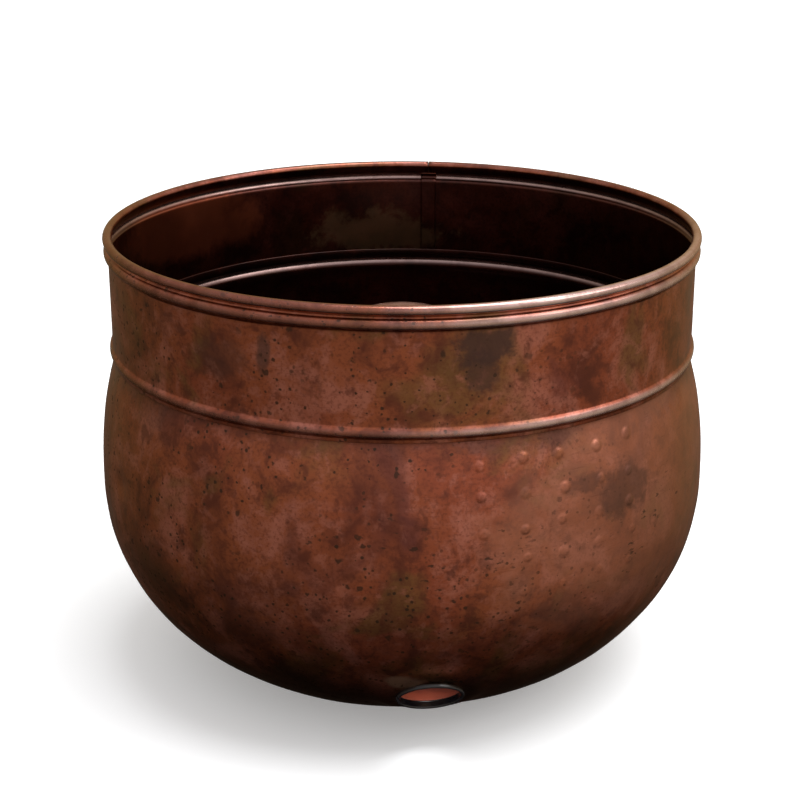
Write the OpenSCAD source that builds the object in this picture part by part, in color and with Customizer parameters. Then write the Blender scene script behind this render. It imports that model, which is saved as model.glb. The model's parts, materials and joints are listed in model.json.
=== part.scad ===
// Garden hose pot: a hammered bowl with a wired collar, a hose port and a winding cone.
// Millimetres. +Z is up, z = 0 is the ground and the hose port faces -Y.

/* [Metal] */
// Thickness of the sheet that every copper piece is made of
sheet_t = 0.9; // [0.6:0.1:1.5]
// Gap left between two pieces that touch
fit_gap = 0.05; // [0.02:0.01:0.1]

/* [Collar] */
// Outside radius of the straight band
collar_r = 199.2; // [160:0.1:250]
// Height of the top of the rolled rim
pot_h = 313.6; // [260:0.1:380]
// Radius of the wire inside the rolled rim
wire_r = 2.2; // [1.5:0.1:3]
// How far the upper bead's middle lies below the top of the rim
upper_bead_drop = 11.9; // [10:0.1:20]
// Height of the upper bead
upper_bead_h = 7.6; // [5:0.1:10]
// How far the upper bead stands out of the band
upper_bead_rise = 2.9; // [1.5:0.1:3.5]
// How far the belt bead's middle lies below the top of the rim
belt_drop = 79.4; // [60:0.1:110]
// Height of the belt bead
belt_h = 7.3; // [5:0.1:10]
// How far the belt bead stands out of the band
belt_rise = 2; // [1.2:0.1:3]
// How far the band's lower edge reaches below the belt bead's middle
skirt_drop = 5.8; // [5.5:0.1:9]
// Direction of the band's upright seam, counted from +X towards +Y
seam_angle = 78; // [0:1:360]
// Width of the lap behind the upright seam
seam_lap_w = 12; // [6:0.5:20]
// Width of the nick that the seam leaves in the rolled rim
seam_nick_w = 2.4; // [1:0.1:5]

/* [Bowl] */
// How far the belly is wider than the collar's band, on the radius
belly_out = 10.8; // [4:0.1:25]
// Height of the widest place of the belly
belly_z = 140; // [110:1:180]
// Radius of the flat base
base_r = 84; // [80:1:110]
// Exponent of the flank's outline across
flank_across = 1.66; // [1.4:0.01:2.2]
// Exponent of the flank's outline along its height
flank_along = 2.07; // [1.6:0.01:2.6]
// Exponent of the shoulder's outline
shoulder_power = 2.4; // [1.8:0.1:3]
// Length of the neck above the belt bead's middle, inside the collar
neck_up = 9; // [7:0.5:16]
// Length of the neck below the collar's lower edge
neck_down = 1.7; // [1:0.1:5]

/* [Base] */
// Radius of the raised panel in the base
panel_r = 72; // [71:0.5:76]
// Room under the rivets' tails
ground_gap = 1; // [0.5:0.1:3]
// Radius of a drain hole
drain_r = 3.5; // [2:0.1:4]
// Distance of the drain holes from the axis
drain_ring_r = 67; // [66:0.5:68]
// Number of drain holes
drain_count = 3; // [2:1:6]

/* [Hose port] */
// Height of the hose port's middle
port_z = 45; // [42:1:60]
// Radius of the clear bore that the hose passes through
port_bore_r = 19.9; // [14:0.1:24]
// Wall of the grommet where it passes through the sheet
grommet_wall = 1; // [0.8:0.1:2]
// Width of the grommet's rounded lips
lip_w = 2.3; // [2:0.1:4]
// Height of the outer lip above the sheet
outer_lip_h = 2.6; // [1.5:0.1:4]
// Height of the inner lip above the sheet
inner_lip_h = 1.9; // [1.5:0.1:4]
// Width of the flat seat round the grommet's lip
seat_w = 3.8; // [2:0.1:6]
// Slope of the raised boss round the port, in degrees
boss_slope = 20; // [14:1:35]

/* [Winding cone] */
// Height of the cone's top above the ground
cone_top_z = 249; // [200:1:270]
// Radius at the top, over the rounded edge
cone_top_r = 36; // [25:0.5:45]
// Rounding of the top edge
cone_round_r = 9; // [4:0.5:15]
// Radius of the wall just above the flared foot
cone_foot_r = 42; // [34:0.5:42]
// Radius of the flare at the foot
cone_flare_r = 10; // [6:0.5:11]
// Outside radius of the flange
flange_r = 62; // [61:0.5:63]

/* [Rivets] */
// Number of rivets
rivet_count = 4; // [3:1:6]
// Distance of the rivets from the axis
rivet_ring_r = 57; // [56.5:0.1:57.5]
// Radius of a rivet's shank
rivet_r = 2; // [1.5:0.1:2.4]
// Radius of a rivet's domed head
rivet_head_r = 3.8; // [3:0.1:4]
// Height of a rivet's domed head
rivet_head_h = 1.8; // [1:0.1:2.4]
// Radius of a rivet's flat tail
rivet_tail_r = 3.4; // [2.8:0.1:4]
// Height of a rivet's flat tail
rivet_tail_h = 1.5; // [1:0.1:2]

/* [Hidden] */

$fn = 96;
BEAD_STEPS = 8;
FLANK_STEPS = 22;
SHOULDER_STEPS = 9;
WELD = 0.05;
PAST = 1;

copper = [0.48, 0.23, 0.15];
steel = [0.55, 0.55, 0.56];
black = [0.06, 0.06, 0.07];

roll_r = wire_r + fit_gap + sheet_t;
roll_z = pot_h - roll_r;
upper_bead_z = pot_h - upper_bead_drop;
belt_z = pot_h - belt_drop;
skirt_z = belt_z - skirt_drop;
neck_r = collar_r - sheet_t - fit_gap;
neck_top_z = belt_z + neck_up;
shoulder_z = skirt_z - neck_down;
belly_r = collar_r + belly_out;
panel_lift = rivet_tail_h + ground_gap;
panel_top = panel_lift + sheet_t;
flange_z = panel_top + fit_gap;
flange_top = flange_z + sheet_t;
port_hole_r = port_bore_r + grommet_wall + fit_gap;
lip_r = port_bore_r + lip_w;
seat_r = lip_r + seat_w;
boss_depth = 4;

// The port's middle on the flank's outline, and its slope below the horizontal
port_v = (belly_z - port_z) / belly_z;
port_u = pow(1 - pow(port_v, flank_along), 1 / flank_across);
port_y = base_r + (belly_r - base_r) * port_u;
port_tilt = atan2(
    flank_along * pow(port_v, flank_along - 1) / belly_z,
    flank_across * pow(port_u, flank_across - 1) / (belly_r - base_r)
);

function unit(v) = v / norm(v);
function right_of(v) = [v[1], -v[0]];
function reversed(line) = [for (i = [len(line) - 1:-1:0]) line[i]];

// Points of an arc, from angle a0 to a1
function arc(cx, cz, r, a0, a1, steps) = [
    for (i = [0:steps])
        let (a = a0 + (a1 - a0) * i / steps)
        [cx + r * cos(a), cz + r * sin(a)]
];

// The line moved by d to its left-hand side, with mitred corners
function inset(line, d) = [
    for (i = [0:len(line) - 1])
        let (
            last = len(line) - 1,
            before = right_of(unit(line[max(i, 1)] - line[max(i, 1) - 1])),
            after = right_of(unit(line[min(i, last - 1) + 1] - line[min(i, last - 1)]))
        )
        line[i] - d * (before + after) / (1 + before * after)
];

// Points of a swaged bead that bulges out of the band, from below to above
function bead(z, rise, height) =
    let (
        r = (height * height / 4 + rise * rise) / (2 * rise),
        half = asin(height / 2 / r)
    )
    arc(collar_r + rise - r, z, r, -half, half, BEAD_STEPS);

// Outside of the band, from its lower edge past the belt bead
function belt_line(top) = concat(
    [[collar_r, skirt_z]],
    bead(belt_z, belt_rise, belt_h),
    [[collar_r, top]]
);

// Outside of the band, from a height above the belt bead to the rolled rim
function upper_line(bottom) = concat(
    [[collar_r, bottom]],
    bead(upper_bead_z, upper_bead_rise, upper_bead_h),
    [[collar_r, roll_z - roll_r / 2]]
);

// Outside of the bowl, from the axis under the base to the neck's upper edge
bowl_line = concat(
    [[0, panel_lift], [panel_r, panel_lift], [panel_r + panel_lift, 0]],
    [
        for (i = [0:FLANK_STEPS])
            let (a = 90 - 90 * i / FLANK_STEPS)
            [
                base_r + (belly_r - base_r) * pow(cos(a), 2 / flank_across),
                belly_z - belly_z * pow(sin(a), 2 / flank_along)
            ]
    ],
    [
        for (i = [1:SHOULDER_STEPS])
            let (s = i / SHOULDER_STEPS)
            [
                belly_r - (belly_r - neck_r) * pow(s, shoulder_power),
                belly_z + (shoulder_z - belly_z) * s
            ]
    ],
    inset(belt_line(neck_top_z), sheet_t + fit_gap)
);

// Outside of the winding cone, from the flange's edge to the middle of its top
cone_line =
    let (
        wall_h = cone_top_z - cone_round_r - flange_top - cone_flare_r,
        lean = atan2(cone_foot_r - cone_top_r, wall_h)
    )
    concat(
        [[flange_r, flange_top]],
        arc(cone_foot_r + cone_flare_r, flange_top + cone_flare_r, cone_flare_r,
            270, 180 + lean, BEAD_STEPS),
        arc(cone_top_r - cone_round_r, cone_top_z - cone_round_r, cone_round_r,
            lean, 90, BEAD_STEPS),
        [[0, cone_top_z]]
    );

// A sheet's section: the line is its outer face
module sheet(line) {
    polygon(concat(line, reversed(inset(line, sheet_t))));
}

// Everything between the axis and a line, up to a height
module inside(line, top) {
    last = line[len(line) - 1];
    rotate_extrude() polygon(concat(line, [[last[0], top], [0, top]]));
}

// Children in the port's own place: +Z is out along the port, z = 0 the sheet's outer face
module at_port() {
    translate([0, -port_y, port_z]) rotate([90 + port_tilt, 0, 0]) children();
}

// Children round the axis, count times, at a distance from it
module around(count, r, first) {
    for (i = [0:count - 1]) rotate([0, 0, first + 360 * i / count]) translate([r, 0, 0]) children();
}

module port_boss() {
    spread = boss_depth / tan(boss_slope);
    translate([0, 0, -boss_depth]) cylinder(h = boss_depth, r1 = seat_r + spread, r2 = seat_r);
}

module drain_holes() {
    around(drain_count, drain_ring_r, 90) cylinder(h = panel_top + PAST, r = drain_r);
}

module rivet_holes() {
    around(rivet_count, rivet_ring_r, 45) cylinder(h = flange_top + PAST, r = rivet_r + fit_gap);
}

// The hammered bowl, with its neck, raised base panel and port boss
module bowl() {
    color(copper) difference() {
        union() {
            inside(bowl_line, neck_top_z);
            at_port() port_boss();
        }
        inside(inset(bowl_line, sheet_t), neck_top_z + PAST);
        at_port() {
            translate([0, 0, -sheet_t]) port_boss();
            cylinder(h = 4 * boss_depth, r = port_hole_r, center = true);
        }
        drain_holes();
        rivet_holes();
    }
}

// The rolled rim round its wire
module rim_roll() {
    translate([collar_r, roll_z]) circle(r = roll_r);
}

// The lap behind the band's upright seam
module seam_lap() {
    turn = seam_lap_w / collar_r * 180 / PI;
    rotate([0, 0, seam_angle - turn / 2]) rotate_extrude(angle = turn) difference() {
        sheet(inset(upper_line(neck_top_z + PAST), sheet_t - WELD));
        rim_roll();
    }
}

// The straight collar with its two beads, rolled rim and upright seam
module collar() {
    color(copper) difference() {
        union() {
            rotate_extrude() difference() {
                union() {
                    sheet(concat(belt_line(belt_z + belt_h), upper_line(neck_top_z)));
                    rim_roll();
                }
                translate([collar_r, roll_z]) circle(r = wire_r + fit_gap);
            }
            seam_lap();
        }
        rotate([0, 0, seam_angle])
            translate([collar_r - 2 * roll_r, -seam_nick_w / 2, roll_z - sheet_t])
                cube([4 * roll_r, seam_nick_w, 2 * roll_r]);
    }
}

// The steel wire that stiffens the rim
module rim_wire() {
    color(steel) rotate_extrude() translate([collar_r, roll_z]) circle(r = wire_r);
}

// One lip of the grommet, standing on the sheet
module lip(height) {
    translate([port_bore_r, 0]) square([lip_w, height - lip_w / 2]);
    translate([port_bore_r + lip_w / 2, height - lip_w / 2]) circle(r = lip_w / 2);
}

// The black grommet that the hose passes through
module hose_port_grommet() {
    color(black) at_port() rotate_extrude() {
        translate([0, fit_gap]) lip(outer_lip_h);
        translate([0, -sheet_t - fit_gap]) mirror([0, 1]) lip(inner_lip_h);
        translate([port_bore_r, -sheet_t - 2 * fit_gap])
            square([grommet_wall, sheet_t + 4 * fit_gap]);
    }
}

// The cone that the hose is wound round
module winding_cone() {
    color(copper) difference() {
        rotate_extrude() sheet(cone_line);
        rivet_holes();
    }
}

// One rivet: a domed head on the flange, and a flat tail under the base panel
module rivet() {
    dome_r = (pow(rivet_head_r, 2) + pow(rivet_head_h, 2)) / (2 * rivet_head_h);
    head_z = flange_top + fit_gap;
    tail_z = panel_lift - fit_gap - rivet_tail_h;
    rotate_extrude() {
        intersection() {
            translate([0, head_z + rivet_head_h - dome_r]) circle(r = dome_r);
            translate([0, head_z]) square([rivet_head_r, rivet_head_h]);
        }
        translate([0, tail_z]) square([rivet_r, head_z - tail_z + WELD]);
        translate([0, tail_z]) square([rivet_tail_r, rivet_tail_h]);
    }
}

// The rivets that hold the winding cone's flange to the base
module cone_rivets() {
    color(copper) around(rivet_count, rivet_ring_r, 45) rivet();
}

bowl();
collar();
rim_wire();
hose_port_grommet();
winding_cone();
cone_rivets();
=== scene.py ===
"""Looks of the garden hose pot: hammered copper, a wired collar, a hose port and a winding cone.

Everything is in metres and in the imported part's frame: +Z is up, z = 0 is the ground and the
hose port faces -Y. Each sub-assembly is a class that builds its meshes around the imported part
and dresses them in its finish.
"""

import json
import logging
import math
from dataclasses import dataclass, field
from enum import Enum

import bmesh
import bpy
import numpy as np
from mathutils import Matrix, Vector

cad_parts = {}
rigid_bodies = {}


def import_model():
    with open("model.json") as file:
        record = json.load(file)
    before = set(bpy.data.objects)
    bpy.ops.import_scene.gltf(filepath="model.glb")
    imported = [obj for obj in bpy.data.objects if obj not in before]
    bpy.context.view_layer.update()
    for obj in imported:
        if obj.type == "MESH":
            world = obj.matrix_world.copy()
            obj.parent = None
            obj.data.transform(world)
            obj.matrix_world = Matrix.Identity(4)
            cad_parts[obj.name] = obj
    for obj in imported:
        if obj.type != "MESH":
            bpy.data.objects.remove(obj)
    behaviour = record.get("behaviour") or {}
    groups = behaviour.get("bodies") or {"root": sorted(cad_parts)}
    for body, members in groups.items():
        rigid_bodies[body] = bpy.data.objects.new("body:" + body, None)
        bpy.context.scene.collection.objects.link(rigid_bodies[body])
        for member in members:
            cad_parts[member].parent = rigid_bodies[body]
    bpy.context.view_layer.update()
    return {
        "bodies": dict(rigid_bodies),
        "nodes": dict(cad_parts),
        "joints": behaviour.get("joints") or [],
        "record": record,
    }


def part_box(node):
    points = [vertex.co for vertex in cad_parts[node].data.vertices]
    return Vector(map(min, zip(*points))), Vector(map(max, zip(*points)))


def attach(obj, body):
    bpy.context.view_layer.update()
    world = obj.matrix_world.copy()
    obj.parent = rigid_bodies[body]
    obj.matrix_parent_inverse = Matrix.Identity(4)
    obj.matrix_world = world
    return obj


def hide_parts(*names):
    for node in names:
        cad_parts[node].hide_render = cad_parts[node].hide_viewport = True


log = logging.getLogger("hose_pot")

Colour = tuple[float, float, float]

BODY = "root"
MERGE = 1e-6  # points closer than this become one
SEED_STEP = (7.3, 3.1, 5.7)  # how far one step of a seed moves a noise
OUTSIDE_R = 0.4  # well outside the pot, where the rays toward its wall start
SLIP_PER_STRAY = 6.0  # radians that a mark slips round the pot per metre of stray
SHARP = math.radians(50.0)  # edges that turn more than this stay crisp
BEAD_REACH = 0.0004  # how far the swaged beads' corners are rounded
PITTED_SIDE = -66.0  # the side with the raised hammer marks and the pits, in degrees


# ---------------------------------------------------------------- node helpers


class Wiring:
    """Adds nodes to one tree and links them, so that a tree reads as a list of steps."""

    def __init__(self, tree: bpy.types.NodeTree) -> None:
        """Wires one tree.

        Args:
            tree: the node tree that every node is added to.
        """
        self.tree = tree

    def add(self, kind: str, inputs: dict | None = None, **settings: object) -> bpy.types.Node:
        """Adds one node.

        Args:
            kind: the node's type name.
            inputs: socket name or number to a value, or to the socket that feeds it.
            settings: the node's own properties.

        Returns:
            The new node.
        """
        node = self.tree.nodes.new(kind)
        for name, value in settings.items():
            setattr(node, name, value)
        self.feed_all(node, inputs or {})
        return node

    def result(self, kind: str, inputs: dict | None = None, **settings: object) -> bpy.types.NodeSocket:
        """Adds one node and returns its first output."""
        return self.add(kind, inputs, **settings).outputs[0]

    def feed_all(self, node: bpy.types.Node, values: dict) -> None:
        """Feeds several of a node's inputs, by name or number."""
        for key, value in values.items():
            self.feed(node.inputs[key], value)

    def feed(self, socket: bpy.types.NodeSocket, value: object) -> None:
        """Links a socket to another one, or sets its value.

        Args:
            socket: the input socket.
            value: an output socket, or a plain value.
        """
        if isinstance(value, bpy.types.NodeSocket):
            self.tree.links.new(value, socket)
        else:
            socket.default_value = value

    def maths(self, operation: str, *values: object, clamp: bool = False) -> bpy.types.NodeSocket:
        """Adds one Math node.

        Args:
            operation: the Math node's operation.
            values: its inputs, in order.
            clamp: whether the result is held between 0 and 1.

        Returns:
            The result's socket.
        """
        inputs = dict(enumerate(values))
        return self.result("ShaderNodeMath", inputs, operation=operation, use_clamp=clamp)

    def plus(self, first: object, second: object) -> bpy.types.NodeSocket:
        """Returns the sum of two numbers."""
        return self.maths("ADD", first, second)

    def minus(self, first: object, second: object, clamp: bool = False) -> bpy.types.NodeSocket:
        """Returns the first number less the second, held between 0 and 1 where clamp is set."""
        return self.maths("SUBTRACT", first, second, clamp=clamp)

    def times(self, first: object, *others: object) -> bpy.types.NodeSocket:
        """Returns the product of two or more numbers."""
        for other in others:
            first = self.maths("MULTIPLY", first, other)
        return first

    def over(self, first: object, second: object, clamp: bool = False) -> bpy.types.NodeSocket:
        """Returns the first number over the second, held between 0 and 1 where clamp is set."""
        return self.maths("DIVIDE", first, second, clamp=clamp)

    def swing(self, value: object, reach: object) -> bpy.types.NodeSocket:
        """Turns a value from 0 to 1 into one as far below 0 as above it, a reach apart."""
        return self.times(self.minus(value, 0.5), reach)

    def vector(self, operation: str, *values: object) -> bpy.types.NodeSocket:
        """Adds one Vector Math node.

        Args:
            operation: the Vector Math node's operation.
            values: its inputs, in order.

        Returns:
            The result's socket.
        """
        node = self.add("ShaderNodeVectorMath", dict(enumerate(values)), operation=operation)
        scalar = operation in {"LENGTH", "DOT_PRODUCT"}
        return node.outputs["Value" if scalar else "Vector"]

    def scaled(self, vector: object, scale: object) -> bpy.types.NodeSocket:
        """Returns a vector times a number."""
        return self.result("ShaderNodeVectorMath", {0: vector, "Scale": scale}, operation="SCALE")

    def ray(self, angle: object) -> bpy.types.NodeSocket:
        """Returns the level unit vector at an angle."""
        across, along_y = self.maths("COSINE", angle), self.maths("SINE", angle)
        return self.result("ShaderNodeCombineXYZ", {0: across, 1: along_y, 2: 0.0})

    def bump(self, height: object, distance: float, strength: float) -> bpy.types.NodeSocket:
        """Returns the normal of a relief that is a distance high where its height is 1."""
        inputs = {"Height": height, "Distance": distance, "Strength": strength}
        return self.result("ShaderNodeBump", inputs)

    def upright(self, length: object) -> bpy.types.NodeSocket:
        """Returns the vector that points straight up and has the given length."""
        return self.result("ShaderNodeCombineXYZ", {2: length})

    def height_of(self, place: object) -> bpy.types.NodeSocket:
        """Returns a place's height."""
        return self.add("ShaderNodeSeparateXYZ", {0: place}).outputs[2]

    def toward(self, place: object, degrees: float) -> bpy.types.NodeSocket:
        """Returns how far a place lies from the axis toward a direction."""
        return self.vector("DOT_PRODUCT", place, level_ray(degrees))

    def spread(
        self, value: object, low: object, high: object, out_low: float = 0.0, out_high: float = 1.0
    ) -> bpy.types.NodeSocket:
        """Maps a value smoothly from one range to another, and holds it there.

        Args:
            value: the value to map.
            low: where the range starts.
            high: where the range ends.
            out_low: the result at low.
            out_high: the result at high.

        Returns:
            The result's socket.
        """
        inputs = {0: value, 1: low, 2: high, 3: out_low, 4: out_high}
        return self.result("ShaderNodeMapRange", inputs, interpolation_type="SMOOTHSTEP")

    def blend(
        self, amount: object, first: object, second: object, mode: str = "MIX"
    ) -> bpy.types.NodeSocket:
        """Mixes two colours.

        Args:
            amount: how much of the second one there is.
            first: the first colour.
            second: the second colour.
            mode: the Mix node's blend type.

        Returns:
            The colour's socket.
        """
        inputs = {0: amount, 6: opaque(first), 7: opaque(second)}
        node = self.add("ShaderNodeMix", inputs, data_type="RGBA", blend_type=mode)
        return node.outputs[2]

    def noise(
        self,
        vector: object,
        scale: object,
        detail: float,
        rough: float = 0.55,
        warp: object = 0.0,
        shift: tuple[float, float, float] | None = None,
    ) -> bpy.types.NodeSocket:
        """Adds one noise texture.

        Args:
            vector: where it is read.
            scale: how many features there are in a metre.
            detail: how many finer layers it has.
            rough: how strong the finer layers are.
            warp: how much it bends itself.
            shift: how far it is moved, so that it differs from its neighbours.

        Returns:
            Its value's socket.
        """
        if shift:
            vector = self.vector("ADD", vector, shift)
        inputs = {"Vector": vector, "Scale": scale, "Detail": detail, "Roughness": rough}
        return self.result("ShaderNodeTexNoise", {**inputs, "Distortion": warp})


def opaque(colour: object) -> object:
    """Gives a plain colour its fourth number, and passes a socket on."""
    if isinstance(colour, tuple) and len(colour) == 3:
        return (*colour, 1.0)
    return colour


def level_ray(degrees: float) -> tuple[float, float, float]:
    """Returns the level unit vector at an angle given in degrees."""
    turn = math.radians(degrees)
    return (math.cos(turn), math.sin(turn), 0.0)


class GroupKind(Enum):
    """What a node group gives: a tree's type, its output's name and the output's type."""

    GEOMETRY = ("GeometryNodeTree", "Geometry", "NodeSocketGeometry")
    MASK = ("ShaderNodeTree", "Mask", "NodeSocketFloat")


class Group:
    """A node group that is being built: its wiring, its inputs and its one output."""

    def __init__(self, name: str, kind: GroupKind, inputs: dict[str, tuple[str, object]]) -> None:
        """Starts a group.

        Args:
            name: the group's name.
            kind: what it gives.
            inputs: socket name to its type and default.
        """
        tree_type, self._result, result_type = kind.value
        self.tree = bpy.data.node_groups.new(name, tree_type)
        new_socket = self.tree.interface.new_socket
        for label, (socket_type, default) in inputs.items():
            socket = new_socket(label, in_out="INPUT", socket_type=socket_type)
            if default is not None:
                socket.default_value = default
        new_socket(self._result, in_out="OUTPUT", socket_type=result_type)
        self.wiring = Wiring(self.tree)
        self.inputs = self.wiring.add("NodeGroupInput").outputs
        self._end = self.wiring.add("NodeGroupOutput")

    def give(self, result: bpy.types.NodeSocket) -> bpy.types.NodeTree:
        """Links the group's output and returns the finished tree."""
        self.wiring.feed(self._end.inputs[self._result], result)
        return self.tree

    def give_finished(self, geometry: bpy.types.NodeSocket) -> bpy.types.NodeTree:
        """Ends a geometry tree: makes its instances real and gives them the finish.

        Args:
            geometry: the tree's geometry.

        Returns:
            The finished tree.
        """
        real = self.wiring.result("GeometryNodeRealizeInstances", {"Geometry": geometry})
        dressed = {"Geometry": real, "Material": self.inputs["Finish"]}
        return self.give(self.wiring.result("GeometryNodeSetMaterial", dressed))


FLOAT = "NodeSocketFloat"
INT = "NodeSocketInt"
VECTOR = "NodeSocketVector"
GEOMETRY = "NodeSocketGeometry"
MATERIAL = "NodeSocketMaterial"
OBJECT = "NodeSocketObject"


def link_new(name: str, data: bpy.types.ID) -> bpy.types.Object:
    """Makes an object of a mesh, a light or a camera and links it to the scene."""
    made = bpy.data.objects.new(name, data)
    bpy.context.scene.collection.objects.link(made)
    return made


def mesh_object(name: str, points: list, edges: list, faces: list) -> bpy.types.Object:
    """Makes an object of points, edges and faces.

    Args:
        name: the object's name.
        points: the points' places.
        edges: pairs of point numbers.
        faces: loops of point numbers.

    Returns:
        The object, linked to the scene.
    """
    mesh = bpy.data.meshes.new(name)
    mesh.from_pydata(points, edges, faces)
    return link_new(name, mesh)


def circle(radius: float, z: float, sides: int) -> list[tuple[float, float, float]]:
    """Returns points spaced evenly on a level circle about the axis."""
    turns = [math.tau * i / sides for i in range(sides)]
    return [(radius * math.cos(turn), radius * math.sin(turn), z) for turn in turns]


# ---------------------------------------------------------------- outlines and sections


def arc(
    centre: tuple[float, float], radius: float, start: float, stop: float, steps: int = 40
) -> np.ndarray:
    """Points of an arc in the section plane.

    Args:
        centre: its centre, as distance from the axis and height.
        radius: its radius.
        start: the first angle, in degrees.
        stop: the last angle, in degrees.
        steps: the number of stretches.

    Returns:
        The points, one row each.
    """
    turn = np.radians(np.linspace(start, stop, steps + 1))
    return np.column_stack((np.cos(turn), np.sin(turn))) * radius + np.array(centre)


def along(line: np.ndarray) -> np.ndarray:
    """Returns each point's distance along the line."""
    return np.concatenate(([0.0], np.cumsum(np.linalg.norm(np.diff(line, axis=0), axis=1))))


def outward(line: np.ndarray) -> np.ndarray:
    """Returns the unit normals on the right-hand side of a line."""
    step = np.gradient(line, axis=0)
    step /= np.linalg.norm(step, axis=1)[:, None]
    return np.column_stack((step[:, 1], -step[:, 0]))


def soften(line: np.ndarray, reach: float, step: float = 0.0002) -> np.ndarray:
    """Rounds a line's corners and keeps its two ends.

    Args:
        line: the points.
        reach: how far from a corner the rounding is felt.
        step: the distance between the points that come back.

    Returns:
        The rounded line, with points a step apart.
    """
    length = along(line)
    places = np.linspace(0.0, length[-1], int(length[-1] / step) + 1)
    fine = np.column_stack([np.interp(places, length, line[:, i]) for i in range(2)])
    half = int(3 * reach / step)
    weight = np.exp(-0.5 * (np.arange(-half, half + 1) * step / reach) ** 2)
    weight /= weight.sum()
    before = 2 * fine[0] - fine[half:0:-1]
    after = 2 * fine[-1] - fine[-2 : -half - 2 : -1]
    padded = np.vstack((before, fine, after))
    return np.column_stack([np.convolve(padded[:, i], weight, mode="valid") for i in range(2)])


def thin_out(line: np.ndarray, longest: float, turn: float) -> np.ndarray:
    """Keeps fewer points where a line is straight and more where it bends.

    Args:
        line: the points, evenly spaced.
        longest: the longest distance between two points.
        turn: how far the line may turn between two points, in degrees.

    Returns:
        The numbers of the points that stay.
    """
    step = np.diff(line, axis=0)
    length = np.linalg.norm(step, axis=1)
    heading = np.unwrap(np.arctan2(step[:, 1], step[:, 0]))
    bend = np.abs(np.gradient(heading))
    cost = np.concatenate(([0.0], np.cumsum(length / longest + bend / math.radians(turn))))
    wanted = np.linspace(0.0, cost[-1], int(math.ceil(cost[-1])) + 1)
    return np.unique(np.searchsorted(cost, wanted).clip(0, len(line) - 1))


@dataclass
class Section:
    """A piece's section, ready to be turned about the axis, with its marks at every point."""

    points: np.ndarray
    lean: np.ndarray
    inward: np.ndarray
    marks: dict[str, np.ndarray]

    @classmethod
    def of_sheet(
        cls, middle: np.ndarray, thickness: float, marks: dict[str, np.ndarray], at_axis: "AxisEnd"
    ) -> "Section":
        """Gives a line the thickness of a sheet, with round edges where it doesn't reach the axis.

        Args:
            middle: the line through the middle of the sheet.
            thickness: the sheet's thickness.
            marks: mark name to its value at every point of the line.
            at_axis: which end of the line lies on the axis.

        Returns:
            The section.
        """
        normal = outward(middle)
        half = thickness / 2
        right, left = middle + half * normal, middle - half * normal
        forward = np.arange(len(middle))
        rows, sides, left_share = [forward], [right], [np.zeros(len(middle))]
        if at_axis is not AxisEnd.LAST:
            rows.append(np.full(3, forward[-1]))
            sides.append(cls._edge(middle[-1], normal[-1], half))
            left_share.append(np.full(3, 0.5))
        rows.append(forward[::-1])
        sides.append(left[::-1])
        left_share.append(np.ones(len(middle)))
        if at_axis is not AxisEnd.FIRST:
            rows.append(np.zeros(4, int))
            sides += [cls._edge(middle[0], -normal[0], half), right[:1]]
            left_share.append(np.array((0.5, 0.5, 0.5, 0.0)))
        row = np.concatenate(rows)
        points = np.vstack(sides)
        ends = {AxisEnd.FIRST: 0, AxisEnd.LAST: forward[-1]}
        if at_axis in ends:
            points[row == ends[at_axis], 0] = 0.0
        spread = {name: value[row] for name, value in marks.items()}
        spread["inner"] = np.concatenate(left_share) * spread.get("inner", 1.0)
        return cls(points, normal[row], middle[row] - points, spread)

    @staticmethod
    def _edge(end: np.ndarray, normal: np.ndarray, half: float) -> np.ndarray:
        """Returns three points of the round edge at the sheet's end, from right to left."""
        ahead = np.array((-normal[1], normal[0]))
        turns = np.radians((45.0, 90.0, 135.0))
        return np.array([end + half * (math.cos(t) * normal + math.sin(t) * ahead) for t in turns])

    @classmethod
    def of_outline(cls, outline: np.ndarray) -> "Section":
        """Makes a section from a solid piece's closed outline.

        Args:
            outline: the outline's points, with the first one again at the end.

        Returns:
            The section, with no marks.
        """
        nothing = np.zeros_like(outline)
        return cls(outline, outward(outline), nothing, {})

    def as_object(self, name: str) -> bpy.types.Object:
        """Makes the section a line of edges that carries the marks as attributes.

        Args:
            name: the object's name.

        Returns:
            The object, linked to the scene.
        """
        count = len(self.points)
        flat = [(r, 0.0, z) for r, z in self.points]
        made = mesh_object(name, flat, [(i, i + 1) for i in range(count - 1)], [])
        attributes = made.data.attributes
        for label, pairs in (("lean", self.lean), ("inward", self.inward)):
            triples = np.column_stack((pairs[:, 0], np.zeros(count), pairs[:, 1]))
            attributes.new(label, "FLOAT_VECTOR", "POINT").data.foreach_set("vector", triples.ravel())
        for label in MARKS:
            values = self.marks.get(label, np.zeros(count))
            attributes.new(label, "FLOAT", "POINT").data.foreach_set("value", values)
        return made


MARKS = ("wear", "gap", "dent", "inner")


class AxisEnd(Enum):
    """Which end of a sheet's middle line lies on the axis."""

    NONE = "none"
    FIRST = "first"
    LAST = "last"


# ---------------------------------------------------------------- geometry trees


def row_and_column(
    w: Wiring, columns: bpy.types.NodeSocket
) -> tuple[bpy.types.NodeSocket, bpy.types.NodeSocket]:
    """Finds each point's place in a grid.

    Args:
        w: the tree's wiring.
        columns: how many points a row holds.

    Returns:
        The point's row and its column.
    """
    index = w.result("GeometryNodeInputIndex")
    row = w.maths("FLOOR", w.over(w.plus(index, 0.5), columns))
    return row, w.minus(index, w.times(row, columns))


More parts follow.
